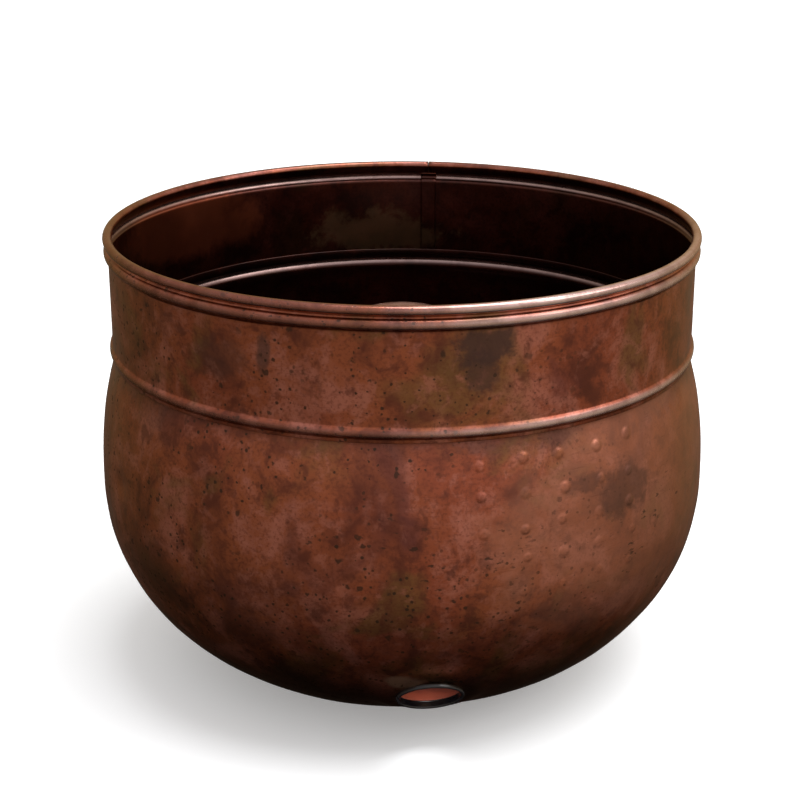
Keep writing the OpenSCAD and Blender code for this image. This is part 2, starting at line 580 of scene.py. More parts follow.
def turning_tree() -> bpy.types.NodeTree:
    """Builds the tree that turns a section about the axis and dents its wall.

    Returns:
        The tree. Its input geometry is a section made by Section.as_object.
    """
    group = Group("turned_sheet", GroupKind.GEOMETRY, {
        "Section": (GEOMETRY, None),
        "Steps": (INT, 256),
        "First Angle": (FLOAT, 0.0),
        "Sweep": (FLOAT, math.tau),
        "Open Ends": (FLOAT, 0.0),
        "Dent Size": (FLOAT, 0.05),
        "Dent Depth": (FLOAT, 0.0),
        "Facet Size": (FLOAT, 0.025),
        "Facet Depth": (FLOAT, 0.0),
        "Seed": (FLOAT, 1.0),
        "Finish": (MATERIAL, None),
    })
    w, inputs = group.wiring, group.inputs
    steps, opened = inputs["Steps"], inputs["Open Ends"]
    count = w.add("GeometryNodeAttributeDomainSize", {0: inputs["Section"]}).outputs["Point Count"]
    grid = w.result("GeometryNodeMeshGrid", {"Vertices X": w.plus(steps, 1), "Vertices Y": count})
    row, column = row_and_column(w, count)

    def sampled(value: bpy.types.NodeSocket, data_type: str) -> bpy.types.NodeSocket:
        """Reads a value of the section at this column."""
        read = {"Geometry": inputs["Section"], "Value": value, "Index": column}
        return w.result("GeometryNodeSampleIndex", read, data_type=data_type, domain="POINT")

    def mark(name: str, data_type: str = "FLOAT") -> bpy.types.NodeSocket:
        """Reads one of the section's attributes at this column."""
        named = w.result("GeometryNodeInputNamedAttribute", {"Name": name}, data_type=data_type)
        return sampled(named, data_type)

    gap = mark("gap")
    part = w.over(w.minus(row, opened), w.minus(steps, w.times(opened, 2.0)), clamp=True)
    sweep = w.minus(inputs["Sweep"], w.times(gap, 2.0))
    angle = w.plus(w.plus(inputs["First Angle"], gap), w.times(part, sweep))
    first_row = w.maths("LESS_THAN", row, 0.5)
    last_row = w.maths("GREATER_THAN", row, w.minus(steps, 0.5))
    pinch = w.times(opened, w.plus(first_row, last_row))

    def turned(vector: bpy.types.NodeSocket) -> bpy.types.NodeSocket:
        """Turns a vector of the section to this row's direction."""
        turn = {"Vector": vector, "Angle": angle}
        return w.result("ShaderNodeVectorRotate", turn, rotation_type="Z_AXIS")

    flat = sampled(w.result("GeometryNodeInputPosition"), "FLOAT_VECTOR")
    place = turned(w.vector("ADD", flat, w.scaled(mark("inward", "FLOAT_VECTOR"), pinch)))
    shift = w.vector("ADD", place, w.scaled(SEED_STEP, inputs["Seed"]))
    swell = w.noise(shift, w.over(1.0, inputs["Dent Size"]), detail=1.5, rough=0.4)
    cells = {"Vector": shift, "Scale": w.over(1.0, inputs["Facet Size"]), "Smoothness": 0.35}
    facets = w.result("ShaderNodeTexVoronoi", cells, feature="SMOOTH_F1")
    dents = w.swing(swell, w.times(inputs["Dent Depth"], 2.0))
    height = w.plus(dents, w.swing(facets, inputs["Facet Depth"]))
    push = w.scaled(turned(mark("lean", "FLOAT_VECTOR")), w.times(height, mark("dent")))
    moved = {"Geometry": grid, "Position": w.vector("ADD", place, push)}
    placed = w.result("GeometryNodeSetPosition", moved)
    for name in ("wear", "inner"):
        stored = {"Geometry": placed, "Name": name, "Value": mark(name)}
        placed = w.result(
            "GeometryNodeStoreNamedAttribute", stored, data_type="FLOAT", domain="POINT"
        )
    merged = w.result("GeometryNodeMergeByDistance", {"Geometry": placed, "Distance": MERGE})
    return group.give_finished(w.result("GeometryNodeSetShadeSmooth", {"Geometry": merged}))


def pimple_tree() -> bpy.types.NodeTree:
    """Builds the tree that sets raised hammer marks on a wall, in rows round the axis.

    Returns:
        The tree. Its input geometry is one mark, with its foot at z = 0.
    """
    group = Group("hammer_pimples", GroupKind.GEOMETRY, {
        "Mark": (GEOMETRY, None),
        "Wall": (OBJECT, None),
        "Columns": (INT, 48),
        "Rows": (INT, 8),
        "Top": (FLOAT, 0.2),
        "Row Step": (FLOAT, 0.02),
        "Row Fade": (FLOAT, 0.17),
        "Stray": (FLOAT, 0.001),
        "Worked Side": (VECTOR, (0.0, -1.0, 0.0)),
        "Seed": (INT, 3),
        "Finish": (MATERIAL, None),
    })
    w, inputs = group.wiring, group.inputs
    columns, stray = inputs["Columns"], inputs["Stray"]
    spots = w.result("GeometryNodePoints", {"Count": w.times(columns, inputs["Rows"])})
    row, column = row_and_column(w, columns)

    def chance(low: float, high: float, salt: int) -> bpy.types.NodeSocket:
        """A random number for each mark."""
        drawn = {2: low, 3: high, "Seed": w.plus(inputs["Seed"], salt)}
        return w.add("FunctionNodeRandomValue", drawn, data_type="FLOAT").outputs[1]

    height = w.minus(inputs["Top"], w.times(row, inputs["Row Step"]))
    height = w.plus(height, w.times(chance(-1.0, 1.0, 1), stray))
    slip = w.times(chance(-1.0, 1.0, 2), w.times(stray, SLIP_PER_STRAY))
    ray = w.ray(w.plus(w.times(column, w.over(math.tau, columns)), slip))
    wall = w.add("GeometryNodeObjectInfo", {"Object": inputs["Wall"]}).outputs["Geometry"]
    hit = w.add("GeometryNodeRaycast", {
        "Target Geometry": wall,
        "Source Position": w.vector("ADD", w.scaled(ray, OUTSIDE_R), w.upright(height)),
        "Ray Direction": w.scaled(ray, -1.0),
        "Ray Length": 1.0,
    }).outputs
    facing = w.spread(w.vector("DOT_PRODUCT", ray, inputs["Worked Side"]), 0.925, 0.955)
    fade = w.minus(1.1, w.times(row, inputs["Row Fade"]))
    strength = w.times(facing, w.times(fade, chance(0.55, 1.1, 3)))
    size = chance(0.85, 1.15, 4)
    left_out = w.plus(w.maths("LESS_THAN", strength, 0.2), w.maths("LESS_THAN", hit["Is Hit"], 0.5))
    turned = {"Vector": hit["Hit Normal"]}
    on_wall = {"Geometry": spots, "Position": hit["Hit Position"]}
    held = w.result("GeometryNodeInstanceOnPoints", {
        "Points": w.result("GeometryNodeSetPosition", on_wall),
        "Selection": w.maths("LESS_THAN", left_out, 0.5),
        "Instance": inputs["Mark"],
        "Rotation": w.result("FunctionNodeAlignRotationToVector", turned, axis="Z"),
        "Scale": w.result("ShaderNodeCombineXYZ", {0: size, 1: size, 2: strength}),
    })
    return group.give_finished(w.result("GeometryNodeSetShadeSmooth", {"Geometry": held}))


def ring_tree() -> bpy.types.NodeTree:
    """Builds the tree that sets copies of a fastener on a circle round the axis.

    Returns:
        The tree. Its input geometry is one fastener, standing on the axis.
    """
    group = Group("fastener_ring", GroupKind.GEOMETRY, {
        "Fastener": (GEOMETRY, None),
        "Count": (INT, 4),
        "Radius": (FLOAT, 0.05),
        "First Angle": (FLOAT, 0.0),
        "Finish": (MATERIAL, None),
    })
    w, inputs = group.wiring, group.inputs
    spots = w.result("GeometryNodePoints", {"Count": inputs["Count"]})
    step = w.over(math.tau, inputs["Count"])
    angle = w.plus(inputs["First Angle"], w.times(w.result("GeometryNodeInputIndex"), step))
    ring = {"Geometry": spots, "Position": w.scaled(w.ray(angle), inputs["Radius"])}
    held = w.result("GeometryNodeInstanceOnPoints", {
        "Points": w.result("GeometryNodeSetPosition", ring),
        "Instance": inputs["Fastener"],
        "Rotation": w.upright(angle),
    })
    return group.give_finished(held)


def run_tree(
    shape: bpy.types.Object, tree: bpy.types.NodeTree, values: dict[str, object]
) -> bpy.types.Object:
    """Runs a geometry tree on an object and keeps only the plain mesh that it makes.

    Args:
        shape: the object, whose mesh is the tree's input geometry.
        tree: the geometry tree.
        values: the tree's named inputs.

    Returns:
        The same object, with the new mesh and no modifier.
    """
    modifier = shape.modifiers.new(tree.name, "NODES")
    modifier.node_group = tree
    for item in tree.interface.items_tree:
        if item.in_out == "INPUT" and item.name in values:
            modifier[item.identifier] = values[item.name]
    return bake_modifiers(shape)


def bake_modifiers(shape: bpy.types.Object) -> bpy.types.Object:
    """Replaces an object's mesh by its evaluated mesh and removes its modifiers.

    Args:
        shape: the object.

    Returns:
        The same object.
    """
    bpy.context.view_layer.update()
    graph = bpy.context.evaluated_depsgraph_get()
    made = bpy.data.meshes.new_from_object(
        shape.evaluated_get(graph), preserve_all_data_layers=True, depsgraph=graph
    )
    shape.modifiers.clear()
    old, shape.data = shape.data, made
    made.name = shape.name
    bpy.data.meshes.remove(old)
    return shape


def read_places(shape: bpy.types.Object) -> np.ndarray:
    """Returns a mesh's vertices, one row each."""
    places = np.zeros(len(shape.data.vertices) * 3)
    shape.data.vertices.foreach_get("co", places)
    return places.reshape(-1, 3)


def write_places(shape: bpy.types.Object, places: np.ndarray) -> None:
    """Moves a mesh's vertices to the given places."""
    shape.data.vertices.foreach_set("co", places.ravel())
    shape.data.update()


def face_outwards(shape: bpy.types.Object) -> None:
    """Flips a closed mesh whose faces point inwards.

    Args:
        shape: the object.
    """
    mesh = shape.data
    mesh.calc_loop_triangles()
    corners = np.zeros(len(mesh.loop_triangles) * 3, np.int32)
    mesh.loop_triangles.foreach_get("vertices", corners)
    places = read_places(shape)
    a, b, c = (places[corners.reshape(-1, 3)[:, i]] for i in range(3))
    if np.einsum("ij,ij->i", a, np.cross(b, c)).sum() < 0.0:
        mesh.flip_normals()


# ---------------------------------------------------------------- shader groups


def speck_group() -> bpy.types.NodeTree:
    """Builds the group that scatters small round-edged specks over a surface.

    Returns:
        The group, whose mask is 1 inside a speck.
    """
    group = Group("specks", GroupKind.MASK, {
        "Vector": (VECTOR, None),
        "Scale": (FLOAT, 100.0),
        "Share": (FLOAT, 0.3),
        "Size": (FLOAT, 0.3),
        "Ragged": (FLOAT, 0.002),
    })
    w, inputs = group.wiring, group.inputs
    rag = {"Vector": inputs["Vector"], "Scale": w.times(inputs["Scale"], 2.5), "Detail": 3.0}
    edge = w.add("ShaderNodeTexNoise", rag)
    drift = w.vector("SUBTRACT", edge.outputs["Color"], (0.5, 0.5, 0.5))
    place = w.vector("ADD", inputs["Vector"], w.scaled(drift, inputs["Ragged"]))
    cells = w.add("ShaderNodeTexVoronoi", {"Vector": place, "Scale": inputs["Scale"], "Randomness": 1.0})
    dice = w.add("ShaderNodeSeparateColor", {0: cells.outputs["Color"]})
    radius = w.times(inputs["Size"], w.plus(0.35, w.times(dice.outputs[1], 0.65)))
    depth = w.minus(radius, cells.outputs["Distance"])
    inside = w.over(depth, w.times(radius, 0.35), clamp=True)
    chosen = w.maths("LESS_THAN", dice.outputs[0], inputs["Share"])
    return group.give(w.times(inside, chosen))


def stretch_group() -> bpy.types.NodeTree:
    """Builds the group that draws marks much longer one way than the other.

    Returns:
        The group, whose mask is 1 on a mark. Stretch holds the features per metre on each axis.
    """
    group = Group("long_marks", GroupKind.MASK, {
        "Vector": (VECTOR, None),
        "Stretch": (VECTOR, (10.0, 10.0, 300.0)),
        "Low": (FLOAT, 0.6),
        "High": (FLOAT, 0.7),
        "Wander": (FLOAT, 0.3),
    })
    w, inputs = group.wiring, group.inputs
    place = w.vector("MULTIPLY", inputs["Vector"], inputs["Stretch"])
    value = w.noise(place, 1.0, detail=3.0, rough=0.5, warp=inputs["Wander"])
    return group.give(w.spread(value, inputs["Low"], inputs["High"]))


def tint_patch_group() -> bpy.types.NodeTree:
    """Builds the group that lays one ragged patch of tint at a place on the surface.

    Returns:
        The group, whose mask is 1 in the middle of the patch. Reach is its size along each axis.
    """
    group = Group("stain", GroupKind.MASK, {
        "Vector": (VECTOR, None),
        "Centre": (VECTOR, (0.0, 0.0, 0.0)),
        "Reach": (VECTOR, (0.02, 0.02, 0.02)),
        "Grain": (FLOAT, 60.0),
        "Ragged": (FLOAT, 0.8),
    })
    w, inputs = group.wiring, group.inputs
    off = w.vector("SUBTRACT", inputs["Vector"], inputs["Centre"])
    away = w.vector("LENGTH", w.vector("DIVIDE", off, inputs["Reach"]))
    rag = w.noise(inputs["Vector"], inputs["Grain"], detail=5.0, rough=0.65, warp=0.4)
    edge = w.plus(away, w.swing(rag, w.times(inputs["Ragged"], 2.0)))
    return group.give(w.spread(edge, 1.12, 0.60))


@dataclass
class Effects:
    """The shader groups that more than one finish uses."""

    specks: bpy.types.NodeTree = field(default_factory=speck_group)
    long_marks: bpy.types.NodeTree = field(default_factory=stretch_group)
    stain: bpy.types.NodeTree = field(default_factory=tint_patch_group)


# ---------------------------------------------------------------- finishes


def group_mask(w: Wiring, tree: bpy.types.NodeTree, **inputs: object) -> bpy.types.NodeSocket:
    """Places a mask group in a material.

    Args:
        w: the material's wiring.
        tree: the group.
        inputs: the group's inputs, by name.

    Returns:
        The mask's socket.
    """
    node = w.tree.nodes.new("ShaderNodeGroup")
    node.node_tree = tree
    w.feed_all(node, inputs)
    return node.outputs["Mask"]


def blank_material(
    name: str,
) -> tuple[bpy.types.Material, Wiring, bpy.types.Node, bpy.types.NodeSocket]:
    """Starts a material.

    Args:
        name: its name.

    Returns:
        The material, its wiring, its Principled shader and the object coordinates' socket.
    """
    material = bpy.data.materials.new(name)
    material.use_nodes = True
    material.node_tree.nodes.clear()
    w = Wiring(material.node_tree)
    shader = w.add("ShaderNodeBsdfPrincipled")
    w.add("ShaderNodeOutputMaterial", {"Surface": shader.outputs[0]})
    return material, w, shader, w.add("ShaderNodeTexCoord").outputs["Object"]


@dataclass(frozen=True)
class TintPatch:
    """One ragged patch of tint, used for real stains and for patches of painted light: where it is on
    the surface, its reach and how strong it is.
    """

    angle: float
    height: float
    radius: float
    reach: tuple[float, float, float]
    strength: float
    grain: float = 60.0
    ragged: float = 0.8
    colour: Colour = (0.075, 0.036, 0.030)

    def mask(self, w: Wiring, effects: "Effects", place: bpy.types.NodeSocket) -> bpy.types.NodeSocket:
        """Places the patch.

        Args:
            w: the material's wiring.
            effects: the shared shader groups.
            place: the object coordinates' socket.

        Returns:
            The patch's mask, times its strength.
        """
        x, y, _ = level_ray(self.angle)
        shape = {"Reach": self.reach, "Grain": self.grain, "Ragged": self.ragged}
        centre = (self.radius * x, self.radius * y, self.height)
        mask = group_mask(w, effects.stain, Vector=place, Centre=centre, **shape)
        return w.times(mask, self.strength)


FINE_SPECKS = {"Scale": 240.0, "Size": 0.36, "Ragged": 0.0016}
COARSE_SPECKS = {"Scale": 100.0, "Size": 0.27, "Ragged": 0.0060}
PITS = {"Scale": 110.0, "Size": 0.36, "Ragged": 0.0080, "Share": 0.6}
STREAKS = {"Stretch": (42.0, 42.0, 6.0), "Low": 0.48, "High": 0.72}
SCRATCHES = {"Stretch": (75.0, 75.0, 1100.0), "Low": 0.60, "High": 0.72}


@dataclass(frozen=True)
class AgedCopper:
    """Copper that was darkened, buffed back and lacquered: mottled, specked, stained and worn, with
    painted shade inside, toward the bottom and from just under the belt bead upward, and painted
    highlights on the crests.
    """

    name: str
    middle: Colour = (0.285, 0.064, 0.028)
    amber: Colour = (0.320, 0.082, 0.032)
    rosy: Colour = (0.450, 0.155, 0.110)
    deep: Colour = (0.105, 0.022, 0.012)
    olive: Colour = (0.180, 0.084, 0.026)
    plum: Colour = (0.125, 0.034, 0.034)
    # Worn copper, pale enough to stand as a painted highlight on the crests.
    worn_highlight: Colour = (0.600, 0.440, 0.420)
    soot: Colour = (0.030, 0.014, 0.006)
    # The colour of the painted shade in the bands below.
    painted_shade: Colour = (0.030, 0.008, 0.010)
    # Multiplied into the inside faces as painted shade.
    inside: Colour = (0.22, 0.14, 0.13)
    roughness: float = 0.34
    coat: float = 0.20
    specks: float = 0.60
    specked_side: float = -135.0
    # The crests' painted highlight is full toward this side and falls off on the far side, whose crests
    # get painted shade instead.
    lit_side: float = -45.0
    shaded_side_share: float = 0.12
    scratches: float = 0.5
    streaks: float = 0.4
    hammering: float = 0.16
    # Bands of painted shade: the height where each starts, the height where it is full, and its
    # strength.
    shade_bands: tuple[tuple[float, float, float], ...] = ()
    pitted: float = 0.0
    seed: float = 0.0
    stains_and_lit_patches: tuple[TintPatch, ...] = ()
    # Patches of painted light on the inside faces, laid over the painted shade.
    lit_patches: tuple[TintPatch, ...] = ()

    def build(self, effects: Effects) -> bpy.types.Material:
        """Builds the material.

        Args:
            effects: the shared shader groups.

        Returns:
            The material.
        """
        material, w, shader, place = blank_material(self.name)
        moved = w.vector("ADD", place, tuple(self.seed * x for x in (1.7, 2.9, 0.6)))
        patch = w.noise(moved, 24.0, detail=5.0, rough=0.62, warp=0.5)
        cloud = w.noise(moved, 75.0, detail=4.0, rough=0.60, warp=0.3)
        grain = w.noise(moved, 480.0, detail=2.0, rough=0.6)
        streaks = group_mask(w, effects.long_marks, Vector=moved, **STREAKS)
        scratches = group_mask(w, effects.long_marks, Vector=moved, **SCRATCHES)
        specks = self._specks(w, effects, place, moved)
        colour = self._patina(w, moved, patch, cloud, grain)
        colour = w.blend(w.times(streaks, self.streaks), colour, self.deep)
        wavy = w.plus(w.height_of(place), w.swing(patch, 0.06))
        # Painted shade in level bands.
        for unshaded_z, shaded_z, strength in self.shade_bands:
            colour = w.blend(w.spread(wavy, unshaded_z, shaded_z, 0.0, strength), colour, self.painted_shade)
        # Stains, and any patches of painted light among them.
        for stain in self.stains_and_lit_patches:
            colour = w.blend(stain.mask(w, effects, place), colour, stain.colour)
        colour = w.blend(w.times(scratches, self.scratches * 0.5), colour, self.deep)
        colour = w.blend(w.times(specks, 0.85), colour, self.soot)
        # Painted shade: the inside faces are multiplied darker.
        inner = w.add("ShaderNodeAttribute", attribute_name="inner").outputs["Fac"]
        colour = w.blend(inner, colour, self.inside, "MULTIPLY")
        # Painted light: lit patches on the inside faces.
        for stain in self.lit_patches:
            colour = w.blend(w.times(stain.mask(w, effects, place), inner), colour, stain.colour)
        # Worn crests and painted highlight: the crests go toward a pale colour, fully on the lit side
        # and on the inside faces, less on the far side.
        wear = w.add("ShaderNodeAttribute", attribute_name="wear").outputs["Fac"]
        toward_lit_side = w.toward(place, self.lit_side)
        lit_share = w.spread(toward_lit_side, 0.110, 0.190, self.shaded_side_share, 1.0)
        lit_share = w.maths("MAXIMUM", lit_share, w.times(inner, 0.8))
        worn_and_lit = w.times(wear, w.spread(cloud, 0.62, 0.44, 0.75, 1.0), lit_share)
        # Painted shade: the crests on the side away from the light are darkened toward the deep colour.
        dull = w.times(w.spread(toward_lit_side, 0.17, 0.05), 0.7 * (1.0 - self.shaded_side_share))
        colour = w.blend(w.times(wear, dull), colour, self.deep)
        rough = w.plus(self.roughness, w.swing(patch, 0.25))
        rough = w.plus(rough, w.times(specks, 0.25))
        w.feed_all(shader, {
            "Base Color": w.blend(worn_and_lit, colour, self.worn_highlight),
            "Metallic": 0.97,
            "Roughness": w.minus(rough, w.times(wear, 0.14), clamp=True),
            "Specular Tint": (1.0, 0.78, 0.52, 1.0),
            "Coat Weight": w.times(self.coat, w.minus(1.0, w.times(wear, 0.7))),
            "Coat Roughness": 0.24,
            "Coat IOR": 1.8,
            "Normal": self._relief(w, moved, cloud, grain, specks, scratches),
        })
        return material

    def _patina(
        self,
        w: Wiring,
        place: bpy.types.NodeSocket,
        patch: bpy.types.NodeSocket,
        cloud: bpy.types.NodeSocket,
        grain: bpy.types.NodeSocket,
    ) -> bpy.types.NodeSocket:
        """Mixes the patina's colours.

        Args:
            w: the material's wiring.
            place: the coordinates' socket.
            patch: the noise of the large patches.
            cloud: the noise of the small clouds.
            grain: the noise of the finest grain.

        Returns:
            The colour's socket.
        """
        broad = w.noise(place, 9.0, detail=2.0, shift=(3.0, 1.0, 2.0))
        hue = w.noise(place, 15.0, detail=3.0, rough=0.55, warp=0.8, shift=(8.0, 5.0, 1.0))
        colour = w.blend(w.spread(broad, 0.40, 0.60), self.middle, self.amber)
        layers = (
            (patch, 0.50, 0.66, 0.80, self.rosy),
            (patch, 0.50, 0.32, 0.85, self.deep),
            (hue, 0.53, 0.68, 0.75, self.olive),
            (hue, 0.44, 0.28, 0.60, self.plum),
            (cloud, 0.52, 0.68, 0.70, self.deep),
            (cloud, 0.48, 0.32, 0.50, self.rosy),
            (grain, 0.45, 0.70, 0.45, self.deep),
        )
        for noise, starts, full, strength, tint in layers:
            colour = w.blend(w.spread(noise, starts, full, 0.0, strength), colour, tint)
        return colour

    def _specks(
        self, w: Wiring, effects: Effects, place: bpy.types.NodeSocket, moved: bpy.types.NodeSocket
    ) -> bpy.types.NodeSocket:
        """Scatters specks of two sizes, most of them on one side of the pot.

        Args:
            w: the material's wiring.
            effects: the shared shader groups.
            place: the object coordinates' socket.
            moved: the coordinates' socket that the noises use.

        Returns:
            The mask's socket.
        """
        where = w.noise(moved, 14.0, detail=3.0, shift=(1.0, 7.0, 4.0))
        side = w.spread(w.toward(place, self.specked_side), 0.0, 0.16, 0.15, 1.0)
        where = w.times(w.spread(where, 0.38, 0.50), side)
        fine, coarse = (
            group_mask(w, effects.specks, Vector=moved, Share=self.specks, **layer)
            for layer in (FINE_SPECKS, COARSE_SPECKS)
        )
        both = w.times(w.maths("MAXIMUM", fine, w.times(coarse, 0.9)), where)
        if not self.pitted:
            return both
        flat = w.vector("MULTIPLY", moved, (1.0, 1.0, 2.2))
        pits = group_mask(w, effects.specks, Vector=flat, **PITS)
        height = w.height_of(place)
        zone = w.times(w.spread(height, 0.060, 0.100), w.spread(height, 0.205, 0.160))
        zone = w.times(zone, w.spread(w.toward(place, PITTED_SIDE), 0.15, 0.185), self.pitted)
        cluster = w.noise(moved, 22.0, detail=3.0, shift=(5.0, 2.0, 9.0))
        return w.maths("MAXIMUM", both, w.times(pits, zone, w.spread(cluster, 0.44, 0.56)))

    def _relief(
        self,
        w: Wiring,
        place: bpy.types.NodeSocket,
        cloud: bpy.types.NodeSocket,
        grain: bpy.types.NodeSocket,
        specks: bpy.types.NodeSocket,
        scratches: bpy.types.NodeSocket,
    ) -> bpy.types.NodeSocket:
        """Adds up the fine relief, in millimetres.

        Args:
            w: the material's wiring.
            place: the coordinates' socket.
            cloud: the noise of the small clouds.
            grain: the noise of the finest grain.
            specks: the specks' mask.
            scratches: the scratches' mask.

        Returns:
            The normal's socket.
        """
        cells = {"Vector": place, "Scale": 78.0, "Smoothness": 0.5}
        blows = w.result("ShaderNodeTexVoronoi", cells, feature="SMOOTH_F1")
        relief = w.times(blows, self.hammering * 2.0)
        for layer, height in ((cloud, 0.18), (grain, 0.012)):
            relief = w.plus(relief, w.times(layer, height))
        for layer, depth in ((specks, 0.02), (scratches, 0.02 * self.scratches)):
            relief = w.minus(relief, w.times(layer, depth))
        return w.bump(relief, 0.001, 1.0)


@dataclass(frozen=True)
class DrawnSteel:
    """Mild steel wire, dull and a little rusty."""

    name: str
    metal: Colour = (0.16, 0.14, 0.13)
    rust: Colour = (0.07, 0.032, 0.020)

    def build(self) -> bpy.types.Material:
        """Builds the material and returns it."""
        material, w, shader, place = blank_material(self.name)
        patches = w.noise(place, 60.0, detail=6.0, rough=0.6)
        lines = w.noise(w.vector("MULTIPLY", place, (20.0, 20.0, 900.0)), 1.0, detail=3.0)
        w.feed_all(shader, {
            "Base Color": w.blend(w.spread(patches, 0.45, 0.65), self.metal, self.rust),
            "Metallic": w.spread(patches, 0.45, 0.65, 1.0, 0.3),
            "Roughness": w.spread(patches, 0.3, 0.7, 0.35, 0.7),
            "Normal": w.bump(lines, 0.0001, 0.5),
        })
        return material


@dataclass(frozen=True)
class MouldedRubber:
    """Black moulded rubber with a skin that shines, some dust and fine pitting."""

    name: str
    black: Colour = (0.004, 0.0035, 0.0045)
    dust: Colour = (0.020, 0.015, 0.013)

    def build(self, effects: Effects) -> bpy.types.Material:
        """Builds the material.

        Args:
            effects: the shared shader groups.

        Returns:
            The material.
        """
        material, w, shader, place = blank_material(self.name)
        cloud = w.noise(place, 120.0, detail=5.0, rough=0.6)
        pits = w.noise(place, 1500.0, detail=2.0)
        w.feed_all(shader, {
            "Base Color": w.blend(w.spread(cloud, 0.5, 0.8, 0.0, 0.5), self.black, self.dust),
            "Roughness": w.spread(cloud, 0.3, 0.7, 0.10, 0.24),
            "Specular IOR Level": 0.5,
            "Normal": w.bump(pits, 0.00006, 0.5),
        })
        return material


# ---------------------------------------------------------------- sub-assemblies


@dataclass(frozen=True)
class PotSizes:
    """Sizes that several pieces share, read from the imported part."""

    wire_r: float
    band_r: float
    roll_z: float
    rim_top: float
    neck_top: float
    port: Vector
    port_axis: Vector
    port_bore_r: float
    sheet_t: float = 0.0009
    fit_gap: float = 0.00005
    neck_over_belt: float = 0.009
    seat_lift: float = 0.0001

    @classmethod
    def from_frame(cls, frame: dict) -> "PotSizes":
        """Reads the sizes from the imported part.


        Returns:
            The sizes.
        """
        wire_lo, wire_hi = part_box("rim_wire")
        wire_r = (wire_hi.z - wire_lo.z) / 2
        mount = next(m for m in frame["record"]["mounts"] if m["name"] == "hose_port")
        return cls(
            wire_r=wire_r,
            band_r=(wire_hi.x - wire_lo.x) / 2 - wire_r,
            roll_z=(wire_hi.z + wire_lo.z) / 2,
            rim_top=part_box("collar")[1].z,
            neck_top=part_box("bowl")[1].z,
            port=Vector(mount["pos_m"]),
            port_axis=Vector(mount["axis"]).normalized(),
            port_bore_r=mount["dims"]["r_mm"] / 1000,
        )

    @property
    def belt_z(self) -> float:
        """Height of the belt bead's middle, just below the neck's upper edge."""
        return self.neck_top - self.neck_over_belt

    def port_frame(self) -> Matrix:
        """Returns the port's own frame: +Z out along the port, z = 0 on the seat's outer face."""
        turn = self.port_axis.to_track_quat("Z", "Y").to_matrix().to_4x4()
        return Matrix.Translation(self.port + self.port_axis * self.seat_lift) @ turn


def bead(band_r: float, z: float, rise: float, height: float) -> np.ndarray:
    """Points of a swaged bead on the band's outer face, from below to above.

    Args:
        band_r: the band's outside radius.
        z: the bead's middle height.
        rise: how far it stands out of the band.
        height: its height.

    Returns:
        The points.
    """
    radius = (height * height / 4 + rise * rise) / (2 * rise)
    half = math.degrees(math.asin(height / 2 / radius))
    return arc((band_r + rise - radius, z), radius, -half, half)


def seat_piece(piece: bpy.types.Object, nodes: tuple[str, ...]) -> bpy.types.Object:
    """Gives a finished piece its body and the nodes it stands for.

    Args:
        piece: the finished piece.
        nodes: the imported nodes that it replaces.

    Returns:
        The piece.
    """
    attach(piece, BODY)
    if nodes:
        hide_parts(*nodes)
    triangles = sum(len(face.vertices) - 2 for face in piece.data.polygons)
    log.info("%s: %d triangles, stands for %s", piece.name, triangles, ", ".join(nodes) or "nothing")
    return piece


def turn_section(
    name: str, section: Section, tree: bpy.types.NodeTree, values: dict[str, object]
) -> bpy.types.Object:
    """Turns a section about the axis.

    Args:
        name: the piece's name.
        section: its section.
        tree: the turning tree.
        values: the tree's named inputs.

    Returns:
        The turned piece, with its faces outwards.
    """
    shape = run_tree(section.as_object(name), tree, values)
    face_outwards(shape)
    return shape


